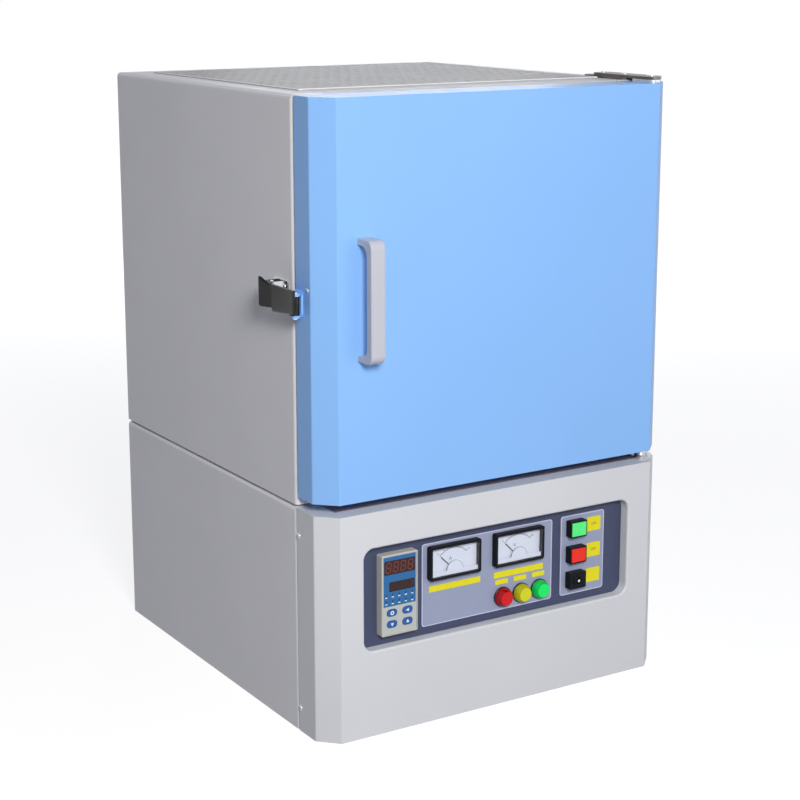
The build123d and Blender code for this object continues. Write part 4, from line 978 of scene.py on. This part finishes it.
def louvreHood():
    across, down = louvre["across"], louvre["down"]
    vertices, faces = [], []
    for j in range(down + 1):
        for i in range(across + 1):
            u, w = 2 * i / across - 1, j / down
            swell = math.sqrt(max(0.0, 1 - abs(u) ** louvre["shoulder"])) * math.sin(math.pi / 2 * w)
            vertices.append((u * louvre["longMm"] / 2 * mm, louvre["outMm"] * swell * mm,
                             (0.5 - w) * louvre["highMm"] * mm))
    for j in range(down):
        for i in range(across):
            p = j * (across + 1) + i
            faces.append((p, p + 1, p + across + 2, p + across + 1))
    hood = meshPiece("hood", vertices, faces)
    skin = hood.modifiers.new("sheet", "SOLIDIFY")
    skin.thickness = louvre["sheetMm"] * mm
    skin.offset = 0
    return applied(hood)


def louvreTree():
    tree, given = newTree("louvres", {"Hood": "Object", "Columns": "Int", "Rows": "Int", "Wide": "Float",
                                      "High": "Float", "Centre": "Vector"})
    grid = addNode(tree, "GeometryNodeMeshGrid", sockets={
        "Size X": given["Wide"], "Size Y": given["High"],
        "Vertices X": given["Columns"], "Vertices Y": given["Rows"]})
    info = addNode(tree, "GeometryNodeObjectInfo", sockets={"Object": given["Hood"]})
    upright = addNode(tree, "GeometryNodeTransform", sockets={
        "Geometry": grid.outputs[0], "Rotation": (math.pi / 2, 0, 0), "Translation": given["Centre"]})
    copies = addNode(tree, "GeometryNodeInstanceOnPoints", sockets={
        "Points": upright.outputs[0], "Instance": info.outputs["Geometry"]})
    closeTree(tree, copies.outputs[0], finish["cabinetGrey"])
    return tree


def makeLouvres():
    hood = louvreHood()
    tree = louvreTree()
    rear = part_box("upper_rear_cover")[1][1]
    groups = []
    span = (louvre["rows"] - 1) * louvre["pitchMm"]
    for columns, pitch, foot in louvre["groups"]:
        centre = (0.0, rear + louvre["offMm"] * mm, (foot + span / 2 + louvre["aboveMm"]) * mm)
        groups.append(grown("hoods", tree, {
            "Hood": hood, "Columns": columns, "Rows": louvre["rows"], "Wide": (columns - 1) * pitch * mm,
            "High": span * mm, "Centre": centre}))
    bpy.data.objects.remove(hood)
    seat(joined("rearLouvreHoods", groups), "cabinet", finish["cabinetGrey"])


makeLouvres()
print("rear vents have their hoods")


# Heating coils in their grooves, with straight tails to the terminals

coil = {"wire": 1.1, "turnPitch": 5.0, "resolution": 14, "wireSides": 7, "tailWire": 2.6, "tailSides": 16,
        "tailInset": 12.0}


def coilTree():
    tree, given = newTree("coils", {"Radius": "Float", "Wire": "Float", "Turns": "Float", "Length": "Float",
                                    "Tail Wire": "Float", "Tail": "Float"})
    spiral = addNode(tree, "GeometryNodeCurveSpiral", sockets={
        "Resolution": coil["resolution"], "Rotations": given["Turns"], "Start Radius": given["Radius"],
        "End Radius": given["Radius"], "Height": given["Length"]})
    section = addNode(tree, "GeometryNodeCurvePrimitiveCircle", sockets={
        "Resolution": coil["wireSides"], "Radius": given["Wire"]})
    wire = addNode(tree, "GeometryNodeCurveToMesh", sockets={
        "Curve": spiral.outputs[0], "Profile Curve": section.outputs[0], "Fill Caps": True})
    half = addNode(tree, "ShaderNodeMath", {"operation": "MULTIPLY_ADD"}, {
        0: given["Tail"], 1: 0.5, 2: given["Length"]})
    spot = addNode(tree, "ShaderNodeCombineXYZ", sockets={2: half.outputs[0]})
    rod = addNode(tree, "GeometryNodeMeshCylinder", sockets={
        "Vertices": coil["tailSides"], "Radius": given["Tail Wire"], "Depth": given["Tail"]})
    tail = addNode(tree, "GeometryNodeTransform", sockets={
        "Geometry": rod.outputs["Mesh"], "Translation": spot.outputs[0]})
    both = addNode(tree, "GeometryNodeJoinGeometry")
    tree.links.new(wire.outputs[0], both.inputs[0])
    tree.links.new(tail.outputs[0], both.inputs[0])
    lying = addNode(tree, "GeometryNodeTransform", sockets={
        "Geometry": both.outputs[0], "Rotation": (-math.pi / 2, 0, 0)})
    copies = addNode(tree, "GeometryNodeInstanceOnPoints", sockets={
        "Points": given["Geometry"], "Instance": lying.outputs[0]})
    closeTree(tree, copies.outputs[0], finish["elementAlloy"])
    return tree


def makeCoils():
    boxes = islands("heating_elements")
    low, high = boxes[0]
    radius = (high.x - low.x) / 2
    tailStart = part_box("muffle_chamber")[1][1] - coil["tailInset"] * mm
    length = tailStart - low.y
    places = pointCloud("coils", [((a.x + b.x) / 2, a.y, (a.z + b.z) / 2) for a, b in boxes])
    piece = grown("heatingCoils", coilTree(), {
        "Radius": radius - coil["wire"] * mm, "Wire": coil["wire"] * mm, "Length": length,
        "Turns": length / (coil["turnPitch"] * mm), "Tail Wire": coil["tailWire"] * mm,
        "Tail": high.y - tailStart}, places)
    seat(piece, "cabinet", finish["elementAlloy"])
    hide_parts("heating_elements")


makeCoils()
print("heating coils are wound")


# Door seal: a braided ceramic rope pressed into its channel

rope = {"wideMm": 14.0, "cornerMm": 16.0, "cornerSteps": 8, "stepMm": 1.4, "strandMm": 7.0, "liftMm": 0.45,
        "around": 16, "boxy": 0.6}


def ropePath(low, high):
    # The middle of the channel in X and Z, as points a short step apart
    wide = rope["wideMm"] * mm
    corners = roundedOutline((low[0] + high[0]) / 2, (low[2] + high[2]) / 2, high[0] - low[0] - wide,
                             high[2] - low[2] - wide, rope["cornerMm"] * mm - wide / 2, rope["cornerSteps"])
    points = []
    for i, (x, z) in enumerate(corners):
        nextX, nextZ = corners[(i + 1) % len(corners)]
        steps = max(1, round(math.dist((x, z), (nextX, nextZ)) / (rope["stepMm"] * mm)))
        points += [(x + (nextX - x) * s / steps, z + (nextZ - z) * s / steps) for s in range(steps)]
    return points


def makeSeal():
    low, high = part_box("door_seal")
    path = ropePath(low, high)
    count, around = len(path), rope["around"]
    gaps = [math.dist(path[i], path[(i + 1) % count]) for i in range(count)]
    total = sum(gaps)
    strands = round(total / (rope["strandMm"] * mm))
    half, thick, middle = rope["wideMm"] * mm / 2, (high[1] - low[1]) / 2, (low[1] + high[1]) / 2
    vertices, faces, run = [], [], 0.0
    for i, (x, z) in enumerate(path):
        before, after = path[i - 1], path[(i + 1) % count]
        along = Vector((after[0] - before[0], 0, after[1] - before[1])).normalized()
        across = Vector((along.z, 0, -along.x))
        wound = 2 * math.pi * strands * run / total
        for k in range(around):
            a = 2 * math.pi * k / around
            braid = math.sin(wound + 2 * a) * math.sin(wound - 2 * a)
            swell = 1 - rope["liftMm"] * mm / thick * 0.5 * (1 - braid)
            sx, sy = [math.copysign(abs(part) ** rope["boxy"], part) for part in (math.cos(a), math.sin(a))]
            vertices.append(Vector((x, middle + sy * thick * swell, z)) + across * (sx * half * swell))
        run += gaps[i]
    for i in range(count):
        j = (i + 1) % count
        for k in range(around):
            m = (k + 1) % around
            faces.append((i * around + k, i * around + m, j * around + m, j * around + k))
    seal = meshPiece("braidedSeal", vertices, faces)
    turnOut(seal)
    seat(seal, "door", finish["sealRope"])
    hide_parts("door_seal")


makeSeal()
print("seal is braided")


# Stage: camera, lamps, floor and world

view = {"place": (-1.1669, -1.9021, 0.8597), "tilt": 77.58, "turn": -31.99, "lens": 81.44, "shiftY": -0.05}
lamps = {
    "key": {"toward": (-0.43, -1.0, 0.5), "distance": 2.5, "size": 0.5, "level": 0.68, "colour": "#FFFDF8"},
    "fill": {"toward": (0.45, -1.0, 0.15), "distance": 3.2, "size": 2.4, "level": 0.19, "colour": "#F2F5FF"},
    "back": {"toward": (0.6, 1.0, 0.08), "distance": 3.4, "size": 1.0, "level": 0.24, "colour": "#F6F7FF"},
}
room = {"ambient": 0.24, "ambientColour": "#E3E8FF", "floorSize": 60.0, "floorColour": "#9C9C9C",
        "nearGlow": 0.80, "farGlow": 0.96, "nearM": 0.7, "farM": 4.5}
aimAt = Vector((0, -0.1, 0.36))


def makeCamera():
    camera = bpy.data.objects.new("camera", bpy.data.cameras.new("camera"))
    camera.data.sensor_width = 36
    camera.data.lens = view["lens"]
    camera.data.shift_y = view["shiftY"]
    camera.location = view["place"]
    camera.rotation_euler = (math.radians(view["tilt"]), 0, math.radians(view["turn"]))
    scene.collection.objects.link(camera)
    scene.camera = camera


def makeLamps():
    for name, lamp in lamps.items():
        data = bpy.data.lights.new(name, "AREA")
        data.shape = "SQUARE"
        data.size = lamp["size"]
        # The level is what a white face turned to the lamp shows
        data.energy = lamp["level"] * math.pi ** 2 * lamp["distance"] ** 2
        data.color = hexColour(lamp["colour"])[:3]
        light = bpy.data.objects.new(name, data)
        toward = Vector(lamp["toward"]).normalized()
        light.location = aimAt + toward * lamp["distance"]
        light.rotation_euler = toward.to_track_quat("Z", "Y").to_euler()
        scene.collection.objects.link(light)


def seenRays(tree):
    # 1 for the rays that show a surface to the camera, by itself or in metal or glass
    path = addNode(tree, "ShaderNodeLightPath")
    direct = addNode(tree, "ShaderNodeMath", {"operation": "MAXIMUM"}, {
        0: path.outputs["Is Camera Ray"], 1: path.outputs["Is Glossy Ray"]})
    return addNode(tree, "ShaderNodeMath", {"operation": "MAXIMUM"}, {
        0: direct.outputs[0], 1: path.outputs["Is Transmission Ray"]}).outputs[0]


def makeWorld():
    world = bpy.data.worlds.new("studio")
    scene.world = world
    world.use_nodes = True
    tree = world.node_tree
    plain = tree.nodes["Background"]
    plain.inputs["Color"].default_value = hexColour(room["ambientColour"])
    plain.inputs["Strength"].default_value = room["ambient"]
    white = addNode(tree, "ShaderNodeBackground", sockets={"Color": (1, 1, 1, 1), "Strength": 1.0})
    mixed = addNode(tree, "ShaderNodeMixShader", sockets={
        0: seenRays(tree), 1: plain.outputs[0], 2: white.outputs[0]})
    tree.links.new(mixed.outputs[0], tree.nodes["World Output"].inputs["Surface"])


def makeFloor():
    half = room["floorSize"] / 2
    corners = [(-half, -half, 0), (half, -half, 0), (half, half, 0), (-half, half, 0)]
    floor = meshPiece("floor", corners, [(0, 1, 2, 3)])
    material = bpy.data.materials.new("paleFloor")
    material.use_nodes = True
    tree = material.node_tree
    tree.nodes.remove(tree.nodes["Principled BSDF"])
    matt = addNode(tree, "ShaderNodeBsdfDiffuse", sockets={"Color": hexColour(room["floorColour"])})
    place = addNode(tree, "ShaderNodeTexCoord").outputs["Object"]
    away = addNode(tree, "ShaderNodeVectorMath", {"operation": "LENGTH"}, {0: place})
    level = addNode(tree, "ShaderNodeMapRange", {"interpolation_type": "SMOOTHSTEP"}, {
        "Value": away.outputs["Value"], "From Min": room["nearM"], "From Max": room["farM"],
        "To Min": room["nearGlow"], "To Max": room["farGlow"]})
    glow = addNode(tree, "ShaderNodeEmission", sockets={"Color": (1, 1, 1, 1), "Strength": level.outputs[0]})
    both = addNode(tree, "ShaderNodeAddShader", sockets={0: matt.outputs[0], 1: glow.outputs[0]})
    mixed = addNode(tree, "ShaderNodeMixShader", sockets={
        0: seenRays(tree), 1: matt.outputs[0], 2: both.outputs[0]})
    tree.links.new(mixed.outputs[0], tree.nodes["Material Output"].inputs["Surface"])
    floor.data.materials.append(material)


makeCamera()
makeLamps()
makeWorld()
makeFloor()
scene.view_settings.view_transform = "Standard"
print("stage is set")
